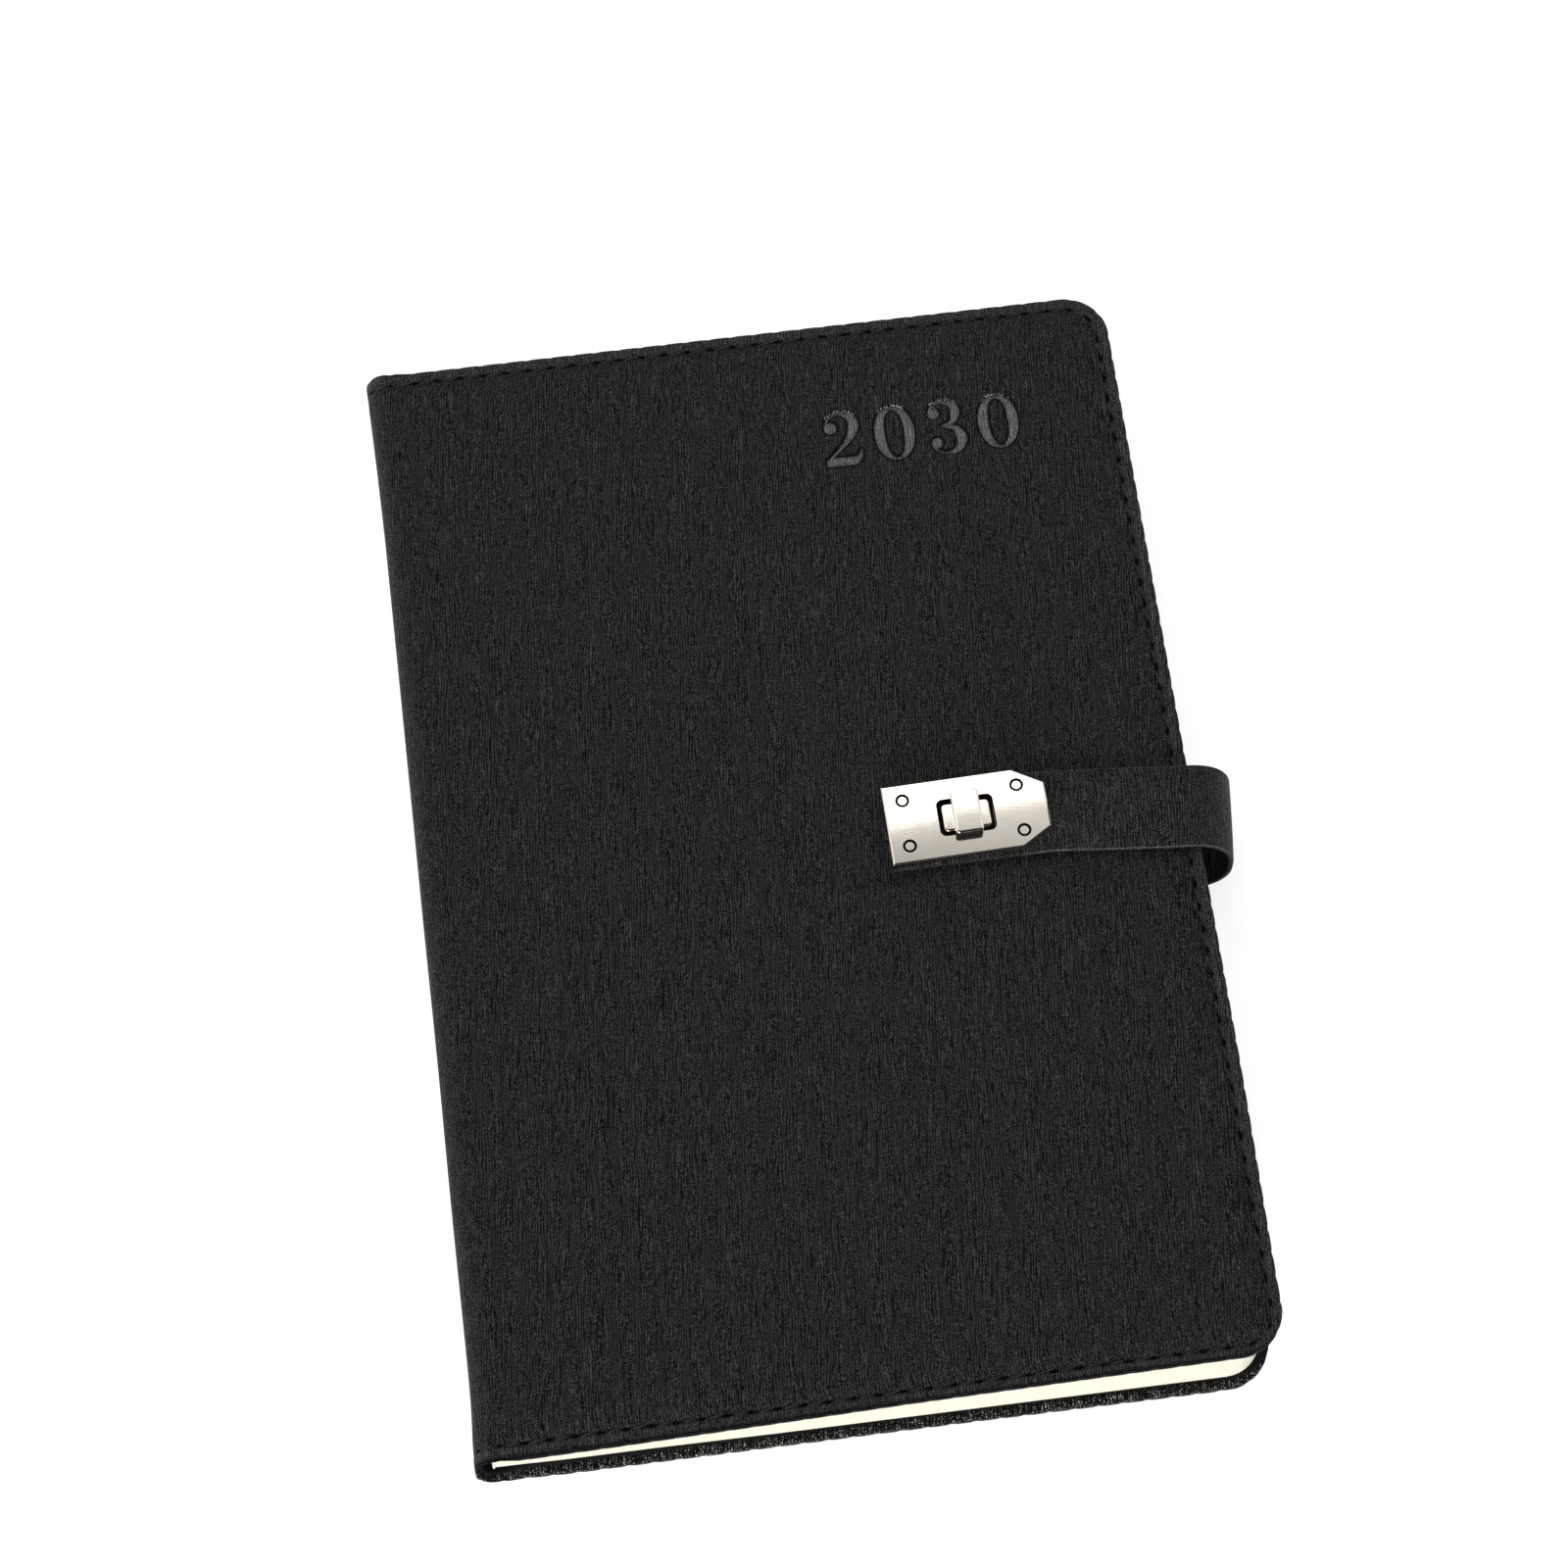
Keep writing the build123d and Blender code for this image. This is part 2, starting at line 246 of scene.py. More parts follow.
def swayed(tree):
    # Object coordinates, turned a little and pushed sideways by a slow noise, so that the strokes wander
    push = tree.nodes.new("ShaderNodeVectorMath")
    push.operation = "MULTIPLY_ADD"
    put(push.inputs[0], noiseOf(mapped(objectPoints(tree), grain["sway"]), 1.0, output="Color"))
    put(push.inputs[1], (grain["swayReach"] * mm, 0, 0))
    put(push.inputs[2], mapped(objectPoints(tree), (1 / mm,) * 3, grain["turn"]))
    return push.outputs["Vector"]


def nearLevel(value, level, reach, height):
    # A ridge of a given height along the lines where a noise passes a level
    return ramp(math2("ABSOLUTE", math2("SUBTRACT", value, level)), 0.0, reach, height, 0.0)


def grainedLeather(name, lean, lift, markName, markColor, markRoughness, markGloss):
    # Black leather cloth with fine ridges along the height of the book: a sine across the run of the cloth,
    # its phase pushed about by a noise. Specks break the ridges. Long thin grooves run where another noise
    # crosses its middle, and pale streaks where it passes a higher level. The colour is paler where the
    # cloth stands higher: partly its own tone and partly painted highlights on the ridges. Marked places
    # have a paler tone and a gloss of their own: painted sheen on the cover's stamps, a painted highlight on
    # the strap's edges. Painted shade darkens the creases, and a painted glint shows pale on the lip where
    # the cloth stands highest.
    material, tree, shader = newMaterial(name)
    ground = swayed(tree)
    axes = axesOf(ground)
    run = plus(axes["X"], times(axes["Z"], lean))
    warp = noiseOf(mapped(ground, grain["warp"]), 1.0)
    turns = plus(times(run, 1 / (grain["period"] * mm)), times(warp, grain["warpTurns"]))
    ridge = math2("SINE", times(turns, 2 * math.pi))
    speck = noiseOf(mapped(ground, grain["speck"]), 0.0)
    line = noiseOf(mapped(ground, grain["line"]), 1.0)
    patch = noiseOf(mapped(objectPoints(tree), grain["patch"]))

    def patchy(value, share):
        return times(value, ramp(patch, *grain["patchSpan"], *share))

    cloth = plus(patchy(ridge, grain["ridgeShare"]), ramp(speck, *grain["speckHeight"]))
    groove = patchy(nearLevel(line, **grain["groove"]), grain["grooveShare"])
    streak = patchy(nearLevel(line, **grain["streak"]), grain["streakShare"])
    height = plus(math2("SUBTRACT", cloth, groove), streak)
    mark, paintedShade, lip = (attributeOf(tree, each) for each in (markName, "paintedShade", "paintedLipGlint"))
    # Paler where the grain stands high: partly the cloth's own tone, partly painted highlights on the ridges
    shade = math2("POWER", ramp(height, *grain["tone"]), grain["toneCurve"])
    tone = mixColor(shade, grain["dark"], tuple(lift * part for part in grain["light"]))
    # Marked colour: painted sheen on the cover's stamps and border, a painted highlight on the strap's upper
    # edges
    marked = mixColor(ramp(height, *grain["markTone"]), (0, 0, 0), markColor)
    # Painted shade: near black where the crease mark lies
    withPaintedShade = mixColor(paintedShade, mixColor(mark, tone, marked), grain["paintedShade"])
    # Painted glint: pale colour on the lip where the cloth stands highest, sparse where the lip mark is weak
    glintSpots = ramp(plus(height, times(lip, grain["lipLift"])), *grain["glintSpan"])
    worn = times(ramp(lip, *grain["lipSpan"]), glintSpots)
    gloss = times(ramp(mark, 0, 1, grain["specular"], markGloss), ramp(paintedShade, 0, 1, 1, grain["paintedShadeGloss"]))
    setInputs(shader, {
        "Base Color": mixColor(worn, withPaintedShade, grain["worn"]),
        "Roughness": plus(ramp(height, *grain["dull"]), times(mark, markRoughness)),
        "Specular IOR Level": times(gloss, ramp(height, *grain["gloss"])),
        "Normal": bumpFrom(height, grain["bump"], grain["depth"])})
    return material


noiseSpan = (0.3, 0.7)  # where most of a noise's values lie
# Near black for painted shade in the needle holes and in the grooves round the rivets
paintedShadeLook = {"size": (0.3, 0.3, 0.3), "tones": ((0.001, 0.001, 0.001), (0.003, 0.003, 0.003)),
          "dull": (0.9, 0.8), "constants": {"Specular IOR Level": 0.05}}
plainLooks = {
    "darkLining": {"size": (0.5, 0.9, 0.5), "noise": (3.0, 0.6), "dull": (0.85, 0.7), "bump": (0.3, 0.05),
                   "tones": ((0.003, 0.003, 0.0032), (0.009, 0.009, 0.0094)),
                   "constants": {"Specular IOR Level": 0.12}},
    "twistedThread": {"size": (0.18, 0.18, 0.18), "turn": 0.7, "noise": (2.0, 0.6), "dull": (0.55, 0.35),
                      "bump": (0.5, 0.06), "tones": ((0.002, 0.002, 0.002), (0.02, 0.02, 0.02)),
                      "constants": {"Specular IOR Level": 0.35}},
    "paintedHoleShade": paintedShadeLook,
    "ringBlack": paintedShadeLook,
    "softFoam": {"size": (0.5, 0.5, 0.5), "noise": (3.0, 0.7), "dull": (0.98, 0.9), "bump": (0.5, 0.15),
                 "tones": ((0.30, 0.29, 0.26), (0.48, 0.46, 0.42))},
    "greyBoard": {"size": (0.7, 1.4, 0.7), "noise": (4.0, 0.65), "dull": (0.95, 0.85), "bump": (0.3, 0.08),
                  "tones": ((0.20, 0.19, 0.17), (0.36, 0.34, 0.31))},
    "plainSteel": {"size": (4.0, 0.15, 0.3), "noise": (3.0, 0.6), "dull": (0.26, 0.42), "bump": (0.2, 0.03),
                   "tones": ((0.42, 0.41, 0.40), (0.60, 0.59, 0.57)), "constants": {"Metallic": 1.0}},
}


def plainLook(name, size, tones, dull, noise=(2.0, 0.5), turn=0.0, bump=None, constants=()):
    # One noise drives the colour, the roughness and, where there is any, the relief
    material, tree, shader = newMaterial(name)
    speck = noiseOf(mapped(objectPoints(tree), size, turn), *noise)
    setInputs(shader, {"Base Color": mixColor(speck, *tones), "Roughness": ramp(speck, *noiseSpan, *dull)})
    setInputs(shader, dict(constants))
    if bump:
        put(shader.inputs["Normal"], bumpFrom(speck, *bump))
    return material


paper = {"fibre": (1.3, 2.1, 0.15), "tones": ((0.88, 0.865, 0.745), (0.915, 0.90, 0.78)),
         "dull": (0.85, 0.75), "cloud": (25, 25, 25), "cloudShare": (0.35, 0.65, 0, 0.3),
         "cloudTone": (0.86, 0.835, 0.70)}


def creamPaper():
    material, tree, shader = newMaterial("creamPaper")
    fibre = noiseOf(mapped(objectPoints(tree), paper["fibre"]), 3.0, 0.6)
    cloud = noiseOf(mapped(objectPoints(tree), paper["cloud"]))
    tone = mixColor(fibre, *paper["tones"])
    setInputs(shader, {
        "Base Color": mixColor(ramp(cloud, *paper["cloudShare"]), tone, paper["cloudTone"]),
        "Roughness": ramp(fibre, *noiseSpan, *paper["dull"]),
        "Specular IOR Level": 0.2, "Normal": bumpFrom(fibre, 0.15, 0.03)})
    return material


def wovenCloth():
    material, tree, shader = newMaterial("wovenCloth")
    wave = tree.nodes.new("ShaderNodeTexWave")
    wave.bands_direction = "Y"
    setInputs(wave, {"Vector": mapped(objectPoints(tree), (0.4, 0.4, 0.4)), "Scale": 0.3})
    weave = wave.outputs["Fac"]
    setInputs(shader, {
        "Base Color": mixColor(weave, (0.62, 0.60, 0.52), (0.80, 0.78, 0.70)),
        "Roughness": ramp(weave, 0, 1, 0.95, 0.85), "Normal": bumpFrom(weave, 0.4, 0.08)})
    return material


plating = {"tones": ((0.78, 0.72, 0.63), (0.83, 0.785, 0.71)), "stain": (5, 5, 5), "line": (9.0, 0.12, 0.12),
           "dull": (0.05, 0.12), "lineDepth": 0.002, "crown": 0.14, "half": (15.0, 7.75)}


def polishedNickel():
    # Warm plated metal with faint lengthwise polishing lines, crowned by a hair across the plate as if buffed
    material, tree, shader = newMaterial("polishedNickel")
    line = noiseOf(mapped(objectPoints(tree), plating["line"]), 3.0, 0.6)
    stain = noiseOf(mapped(objectPoints(tree), plating["stain"]))
    axes = axesOf(objectPoints(tree))
    squares = []
    for axis, centre, half in zip("XY", lockPoint, plating["half"]):
        share = ramp(axes[axis], (centre - half) * mm, (centre + half) * mm, -1, 1)
        squares.append(times(share, share))
    relief = plus(times(plus(*squares), -plating["crown"]), times(line, plating["lineDepth"]))
    setInputs(shader, {
        "Base Color": mixColor(stain, *plating["tones"]), "Metallic": 1.0,
        "Roughness": ramp(line, *noiseSpan, *plating["dull"]), "Normal": bumpFrom(relief, 1.0, 1.0)})
    return material


# The stamps' pale colour is painted sheen of the pressed floor
coverLeather = grainedLeather("coverLeather", 1.0, 1.0, "stamp", (0.29, 0.29, 0.282), -0.2, 0.5)
# The strap's marked colour paints a highlight along its two upper cut edges
strapLeather = grainedLeather("strapLeather", -1.0, 1.2, "paintedEdgeHighlight", (0.24, 0.24, 0.235), 0.0, 0.4)
plain = {name: plainLook(name, **facts) for name, facts in plainLooks.items()}
pagePaper = creamPaper()
backCloth = wovenCloth()
lockNickel = polishedNickel()
print("materials: ready")

carriedNodes = (
    (plain["softFoam"], ("front_padding", "back_padding")),
    (plain["greyBoard"], ("front_board", "back_board")),
    (backCloth, ("front_spine_cloth", "rear_spine_cloth")),
    (lockNickel, ("lock_plate", "knob_bar", "knob_base", "lock_rivets")),
    (plain["plainSteel"], ("lock_backplate", "knob_washer", "knob_clip")),
)
for finish, nodes in carriedNodes:
    for node in nodes:
        frame["nodes"][node].data.materials.clear()
        frame["nodes"][node].data.materials.append(finish)


# Cross-section of a cover: half of the spine's flat, a round fold and the panel, measured as a run from
# the middle of the spine; the back cover is the same line without the gape, turned over
def crossSection(slope, turnedOver):
    hingeX = frontHinge[0] - spineX
    hingeZ = frontHinge[2]
    rise = caseDepth - hingeZ
    centreZ = hingeZ + (rise - foldRadius + math.sin(slope) * (foldRadius - hingeX)) / math.cos(slope)
    turn = math.pi / 2 - slope
    foldEnd = np.array([foldRadius * (1 - math.cos(turn)), centreZ + foldRadius * math.sin(turn)])
    along = np.array([math.cos(slope), math.sin(slope)])
    above = np.array([-math.sin(slope), math.cos(slope)])
    corner = np.array([hingeX, hingeZ]) + along * (foreX - spineX - hingeX) + above * rise
    flat = centreZ - caseDepth / 2
    panel = flat + foldRadius * turn
    return {"flat": flat, "turn": turn, "along": along, "turnedOver": turnedOver, "panel": panel,
            "length": panel + (corner - foldEnd) @ along}


flare = {"head": 0.85, "headReach": 14.0, "tail": 0.6, "tailReach": 8.0, "fade": 3.5}


def spineFlare(section, run, across):
    # The turned-in ends make the spine stand out by a hair at head and tail
    head = flare["head"] * np.exp(-np.maximum(halfHeight - across, 0) / flare["headReach"])
    tail = flare["tail"] * np.exp(-(np.maximum(halfHeight + across, 0) / flare["tailReach"]) ** 2)
    return (head + tail) * smoothStep(section["panel"], section["panel"] - flare["fade"], run)


def placeOn(section, run, height, across):
    # Point at a run from the spine's middle, raised along the outward normal
    height = height + spineFlare(section, run, across)
    turn = np.clip((run - section["flat"]) / foldRadius, 0, section["turn"])
    past = np.maximum(run - section["panel"], 0)
    x = foldRadius * (1 - np.cos(turn)) + past * section["along"][0] - np.cos(turn) * height
    z = np.minimum(run, section["flat"]) + foldRadius * np.sin(turn) + past * section["along"][1]
    z = caseDepth / 2 + z + np.sin(turn) * height
    if section["turnedOver"]:
        z = caseDepth - z
    return np.stack(np.broadcast_arrays(spineX + x, across, z), -1)


frontSection = crossSection(gape, False)
backSection = crossSection(0.0, True)

cover = {
    "corner": 8.5, "rimDrop": 0.4, "spineDrop": 0.12, "fieldInset": 2.7, "fieldStart": 2.3, "fieldRise": 6.0,
    "spineSkin": 0.7, "panelSkin": 2.3, "thicken": 3.0, "groove": 0.2, "grooveWidth": 0.45,
    "sewnSpan": (-2, 3), "ripple": 0.035, "rippleRuns": (9.7, 5.3), "rippleSides": (13.1, 7.9),
    "rippleStarts": (1.3, 0.4), "crossRipple": 0.6, "foldStep": 0.45, "runStep": 3.0, "sideStep": 3.2,
    "drawFrom": 40, "drawOver": 32,
}


def skinDepth(section, run):
    # Outer face to the lining: thin in the spine, board and padding included on the panel
    share = smoothStep(section["panel"], section["panel"] + cover["thicken"], run)
    return cover["spineSkin"] + (cover["panelSkin"] - cover["spineSkin"]) * share


def rimHeight(section, run):
    share = smoothStep(section["flat"], section["panel"] + cover["thicken"], run)
    return -(cover["spineDrop"] + (cover["rimDrop"] - cover["spineDrop"]) * share)


def edgeDistance(section, run, across, inset):
    # Distance inside a rectangle with two round corners, drawn in by the inset
    radius = cover["corner"] - inset
    overRun = run - (section["length"] - cover["corner"])
    overSide = np.abs(across) - (halfHeight - cover["corner"])
    corner = radius - np.hypot(np.maximum(overRun, 0), np.maximum(overSide, 0))
    return np.where((overRun > 0) & (overSide > 0), corner, radius - np.maximum(overRun, overSide))


def topHeight(section, run, across, distance):
    # Padded field: from the groove at the sewn line up to its full level, with a slight ripple that is a
    # product of two sines and a third, crossing, sine
    lift = smoothStep(cover["fieldStart"], cover["fieldRise"], distance)
    pulled = np.exp(-((distance - cover["fieldInset"]) / cover["grooveWidth"]) ** 2)
    sewn = smoothStep(*(section["flat"] + end for end in cover["sewnSpan"]), run)
    longRun, shortRun = (run / length for length in cover["rippleRuns"])
    longSide, shortSide = (across / length for length in cover["rippleSides"])
    wave = np.sin(longRun + cover["rippleStarts"][0]) * np.sin(longSide + cover["rippleStarts"][1])
    wave = wave + cover["crossRipple"] * np.sin(shortRun - shortSide)
    level = rimHeight(section, run) * (1 - lift) + cover["ripple"] * lift * (wave - 1)
    return level - cover["groove"] * pulled * sewn


# Figures stamped into the front cover, each a line of changing width on a cell 7.7 wide and 11.6 high:
# along, up and half width at every knot
figures = {
    "row": "2030", "place": (84.9, 75.5), "pitch": 10.05, "high": 11.6, "reach": ((-1, 9), (-1, 13)),
    "depth": 0.42, "soft": 0.11, "paintedShade": (0.12, 0.24), "lip": (0.16, 0.13), "lipSlope": (0.55, 0.85),
    "lipFrom": (9.9, 10.5), "step": 0.155, "margin": 0.8, "overrun": 1, "clear": 0.4, "perSpan": 14,
    "2": [[(1.75, 8.3, 1.25), (1.75, 8.3, 1.25)],
          [(0.8, 8.6, 0.35), (1.5, 10.4, 0.3), (3.6, 11.25, 0.3), (5.7, 10.3, 0.75), (6.25, 8.4, 1.05),
           (5.3, 6.1, 0.75), (3.2, 3.7, 0.4), (0.9, 1.5, 0.3), (0.5, 0.6, 0.3)],
          [(0.9, 0.95, 0.85), (3.0, 1.0, 0.95), (5.8, 0.95, 0.9)],
          [(5.6, 0.9, 0.8), (6.8, 1.7, 0.5), (7.2, 3.1, 0.2)]],
    "3": [[(1.7, 8.9, 1.15), (1.7, 8.9, 1.15)],
          [(0.8, 9.0, 0.35), (1.6, 10.5, 0.3), (3.5, 11.25, 0.3), (5.4, 10.4, 0.7), (5.9, 8.8, 0.95),
           (5.1, 6.9, 0.55), (3.0, 6.15, 0.28)],
          [(3.0, 6.15, 0.28), (5.5, 5.4, 0.6), (6.5, 3.2, 1.05), (5.6, 1.0, 0.7), (3.4, 0.32, 0.3),
           (1.4, 1.2, 0.3), (0.75, 2.6, 0.35)],
          [(1.65, 2.6, 1.15), (1.65, 2.6, 1.15)]],
    "0": [[(3.85, 11.25, 0.3), (5.6, 10.2, 0.65), (6.6, 7.6, 1.0), (6.6, 4.0, 1.0), (5.6, 1.4, 0.65),
           (3.85, 0.35, 0.3), (2.1, 1.4, 0.65), (1.1, 4.0, 1.0), (1.1, 7.6, 1.0), (2.1, 10.2, 0.65),
           (3.85, 11.25, 0.3)]],
}
figureRun = frontSection["panel"] + figures["place"][0] - foldRadius
figureSide = figures["place"][1]


def curveThrough(knots):
    # Catmull-Rom curve through points and widths
    knots = np.array(knots, float)
    padded = np.concatenate([2 * knots[:1] - knots[1:2], knots, 2 * knots[-1:] - knots[-2:-1]])
    t = np.linspace(0, 1, figures["perSpan"], endpoint=False)[None, :, None]
    a, b, c, d = (padded[k:len(padded) - 3 + k, None] for k in range(4))
    bend = (2 * a - 5 * b + 4 * c - d) * t ** 2 + (3 * b - a - 3 * c + d) * t ** 3
    spans = 0.5 * (2 * b + (c - a) * t + bend)
    return np.concatenate([spans.reshape(-1, knots.shape[1]), knots[-1:]])


def bell(value, middle, width):
    return np.exp(-((value - middle) / width) ** 2)


def stampMarks(runs, sides):
    # Three grids: 1 inside a figure and 0 outside, by the nearest distance to the figure's line less its half
    # width; painted shade along the crease of the figure's outline; and a pale painted glint on the lip at
    # its top
    marks = np.zeros((3, len(runs), len(sides)))
    (firstX, lastX), (firstY, lastY) = figures["reach"]
    for number, figure in enumerate(figures["row"]):
        x = runs - figureRun - number * figures["pitch"]
        y = sides - figureSide
        inX = np.flatnonzero((x > firstX) & (x < lastX))
        inY = np.flatnonzero((y > firstY) & (y < lastY))
        line = np.concatenate([curveThrough(stroke) for stroke in figures[figure]])
        gap = np.hypot(x[inX, None, None] - line[:, 0], y[None, inY, None] - line[:, 1]) - line[:, 2]
        nearest = gap.min(-1)
        facing = smoothStep(*figures["lipSlope"], np.gradient(nearest, y[inY], axis=1))
        facing = facing * smoothStep(*figures["lipFrom"], y[inY])
        inside = smoothStep(figures["soft"], -figures["soft"], nearest)
        part = np.ix_(inX, inY)
        for grid, values in zip(marks, (inside, bell(nearest, *figures["paintedShade"]),
                                        facing * bell(nearest, *figures["lip"]))):
            grid[part] = np.maximum(grid[part], values)
    return marks


def spread(start, end, step):
    return np.linspace(start, end, max(2, int(round(abs(end - start) / step)) + 1))


def sortedLines(*parts):
    return np.unique(np.concatenate(parts).round(4))


def refined(lines, fine):
    # Grid lines with a stretch of them replaced by closer ones
    apart = (lines < fine[0] - figures["clear"]) | (lines > fine[-1] + figures["clear"])
    return sortedLines(lines[apart], fine)


nearEdge = np.array([0, 0.1, 0.22, 0.36, 0.52, 0.7, 0.9, 1.15, 1.45, 1.8, 2.2, 2.65, 3.2, 3.9, 4.8, 5.8])


def sheetLines(section, inset, steps, fineEnd, band):
    # Runs and heights of a sheet's grid lines, close together on the fold and at the edges
    lastRun = section["length"] - inset
    lastSide = halfHeight - inset
    runs = sortedLines(spread(0, fineEnd, steps["foldStep"]),
                       spread(fineEnd, lastRun - band, steps["runStep"]), lastRun - nearEdge)
    sides = sortedLines(lastSide - nearEdge, nearEdge - lastSide,
                        spread(band - lastSide, lastSide - band, steps["sideStep"]))
    return runs, sides


def gridLines(section, stamped):
    # Grid lines of a cover's field, closer over the figures
    runs, sides = sheetLines(section, cover["fieldInset"], cover, section["panel"], nearEdge[-1])
    if stamped:
        margin, step = figures["margin"], figures["step"]
        start, low = figureRun - margin, figureSide - margin
        long = figures["pitch"] * len(figures["row"]) + 2 * margin - figures["overrun"]
        runs = refined(runs, spread(start, start + long, step))
        sides = refined(sides, spread(low, low + figures["high"] + 2 * margin, step))
    return runs, sides


def sheetOnCover(name, section, runs, sides, inset, topAt, bottomAt, rims, material):
    # Closed sheet over a cover: a grid on top, a rounded wall round its three free edges and strips below.
    # Near the round corners the grid's side lines draw in with the outline.
    radius = cover["corner"] - inset
    cornerRun = section["length"] - cover["corner"]
    overRun = np.maximum(runs - cornerRun, 0)
    drop = radius - np.sqrt(np.maximum(radius ** 2 - overRun ** 2, 0))
    share = np.clip((np.abs(sides) - (halfHeight - inset - cover["drawFrom"])) / cover["drawOver"], 0, 1)
    across = sides[None] - np.sign(sides)[None] * share[None] * drop[:, None]
    run = np.broadcast_to(runs[:, None], across.shape)
    distance = edgeDistance(section, run, across, inset) + inset
    top = topAt(run, across, distance)
    points = [placeOn(section, run, top, across).reshape(-1, 3)]
    index = np.arange(across.size).reshape(across.shape)
    edge = np.concatenate([index[:, 0], index[-1, 1:], index[-2::-1, -1]])
    edgeRun, edgeSide, edgeTop = (values.reshape(-1)[edge] for values in (run, across, top))
    outRun = np.maximum(edgeRun - cornerRun, 0) / radius
    outSide = np.sign(edgeSide) * np.sqrt(np.maximum(1 - outRun ** 2, 0))
    rows = [edge]
    for back, down in rims:
        shift = inset - back
        wall = edgeTop + (bottomAt(edgeRun) - edgeTop) * down
        rows.append(sum(len(block) for block in points) + np.arange(len(edge)))
        points.append(placeOn(section, edgeRun + outRun * shift, wall, edgeSide + outSide * shift))
    wallIndex = np.stack(rows)
    last = wallIndex[-1]
    count = len(runs)
    tail, head = last[:count], last[::-1][:count]
    under = np.stack([tail[:-2], head[:-2], head[1:-1], tail[1:-1]], -1).tolist()
    under.append([tail[-2], head[-2]] + last[count - 1:len(last) - count + 1][::-1].tolist())
    cap = index[0].tolist() + wallIndex[1:, -1].tolist() + wallIndex[:0:-1, 0].tolist()
    faces = quadsOf(index) + quadsOf(wallIndex)
    return makePiece(name, np.concatenate(points), faces, material, under + [cap])


def coverSkin(name, section, stamped):
    runs, sides = gridLines(section, stamped)
    marks = stampMarks(runs, sides) if stamped else np.zeros((3, len(runs), len(sides)))
    inset = cover["fieldInset"]

    def topAt(run, across, distance):
        return topHeight(section, run, across, distance) - figures["depth"] * marks[0]

    def bottomAt(run):
        return -skinDepth(section, run)

    piece = sheetOnCover(name, section, runs, sides, inset, topAt, bottomAt, ((inset, 0.5), (inset, 1.0)),
                         coverLeather)
    for markName, values in zip(("stamp", "paintedShade", "paintedLipGlint"), marks):
        pointValues(piece, markName, values)
    return piece


lining = {"inset": 1.0, "thickness": 0.5, "shave": 0.2, "shaveReach": 3.0, "pastFold": 4, "edgeBand": 8,
          "foldStep": 0.5, "runStep": 6, "sideStep": 2, "rims": ((1.0, 0.75), (1.12, 1.0), (2.0, 1.0))}


def coverLining(name, section):
    fineEnd = section["panel"] + lining["pastFold"]
    runs, sides = sheetLines(section, lining["inset"], lining, fineEnd, lining["edgeBand"])

    def topAt(run, across, distance):
        return -skinDepth(section, run)

    def bottomAt(run):
        # Thinner beside the fold, which bulges inwards when the cover is open
        shaved = lining["shave"] * bell(run, section["panel"], lining["shaveReach"])
        return -skinDepth(section, run) - lining["thickness"] + shaved

    return sheetOnCover(name, section, runs, sides, lining["inset"], topAt, bottomAt, lining["rims"],
                        plain["darkLining"])


bendReach = {"beforeFold": 0.6, "pastFold": 1.5}


def foldEnds(section):
    # Ends of the stretch that bends: where the spine's flat stops and just past the fold
    start = placeOn(section, section["flat"] - bendReach["beforeFold"], 0.0, 0.0)
    end = placeOn(section, section["panel"] + bendReach["pastFold"], 0.0, 0.0)
    return tuple(start * mm), tuple(end * mm)


stitching = {
    "inset": 2.5, "pitch": 4.4, "start": 2.5, "seamDepth": 0.18, "length": 3.2, "radius": 0.25, "sink": 0.36,
    "rise": -0.06, "slant": 0.16, "rings": 9, "sides": 6, "endPower": 6, "endGirth": 0.02, "archPower": 2.6,
    "hole": 0.8, "holeWidth": 0.72, "holeThick": 0.5, "holeSides": 8, "holeSink": 0.12,
}


def outlinePath(section, inset, first, distance):
    # Run, height and heading at a distance along the outline: tail, corner, fore edge, corner, head.
    # The last value is the same place measured along the cover's very edge, from the middle of the spine.
    radius = cover["corner"] - inset
    straight = section["length"] - cover["corner"] - first
    turn = radius * math.pi / 2
    upright = 2 * (halfHeight - cover["corner"])
    marks = np.cumsum([0, straight, turn, upright, turn, straight])
    share = [np.clip(distance - marks[k], 0, marks[k + 1] - marks[k]) for k in range(5)]
    bend = [share[1] / radius, share[3] / radius]
    run = first + share[0] + radius * np.sin(bend[0]) - radius * (1 - np.cos(bend[1])) - share[4]
    across = inset - halfHeight + radius * (1 - np.cos(bend[0])) + share[2] + radius * np.sin(bend[1])
    atEdge = first + share[0] + share[2] + share[4] + cover["corner"] * (bend[0] + bend[1])
    return run, across, bend[0] + bend[1], atEdge


def outlineLength(section, inset, first):
    straight = section["length"] - cover["corner"] - first + halfHeight - cover["corner"]
    return 2 * straight + (cover["corner"] - inset) * math.pi


def needlePlaces(section):
    # Distances of the needle holes along the sewn line
    length = outlineLength(section, stitching["inset"], section["flat"] + stitching["start"])
    return np.linspace(0, length, int(length / stitching["pitch"]) + 1)


def seamPath(section, distance):
    return outlinePath(section, stitching["inset"], section["flat"] + stitching["start"], distance)


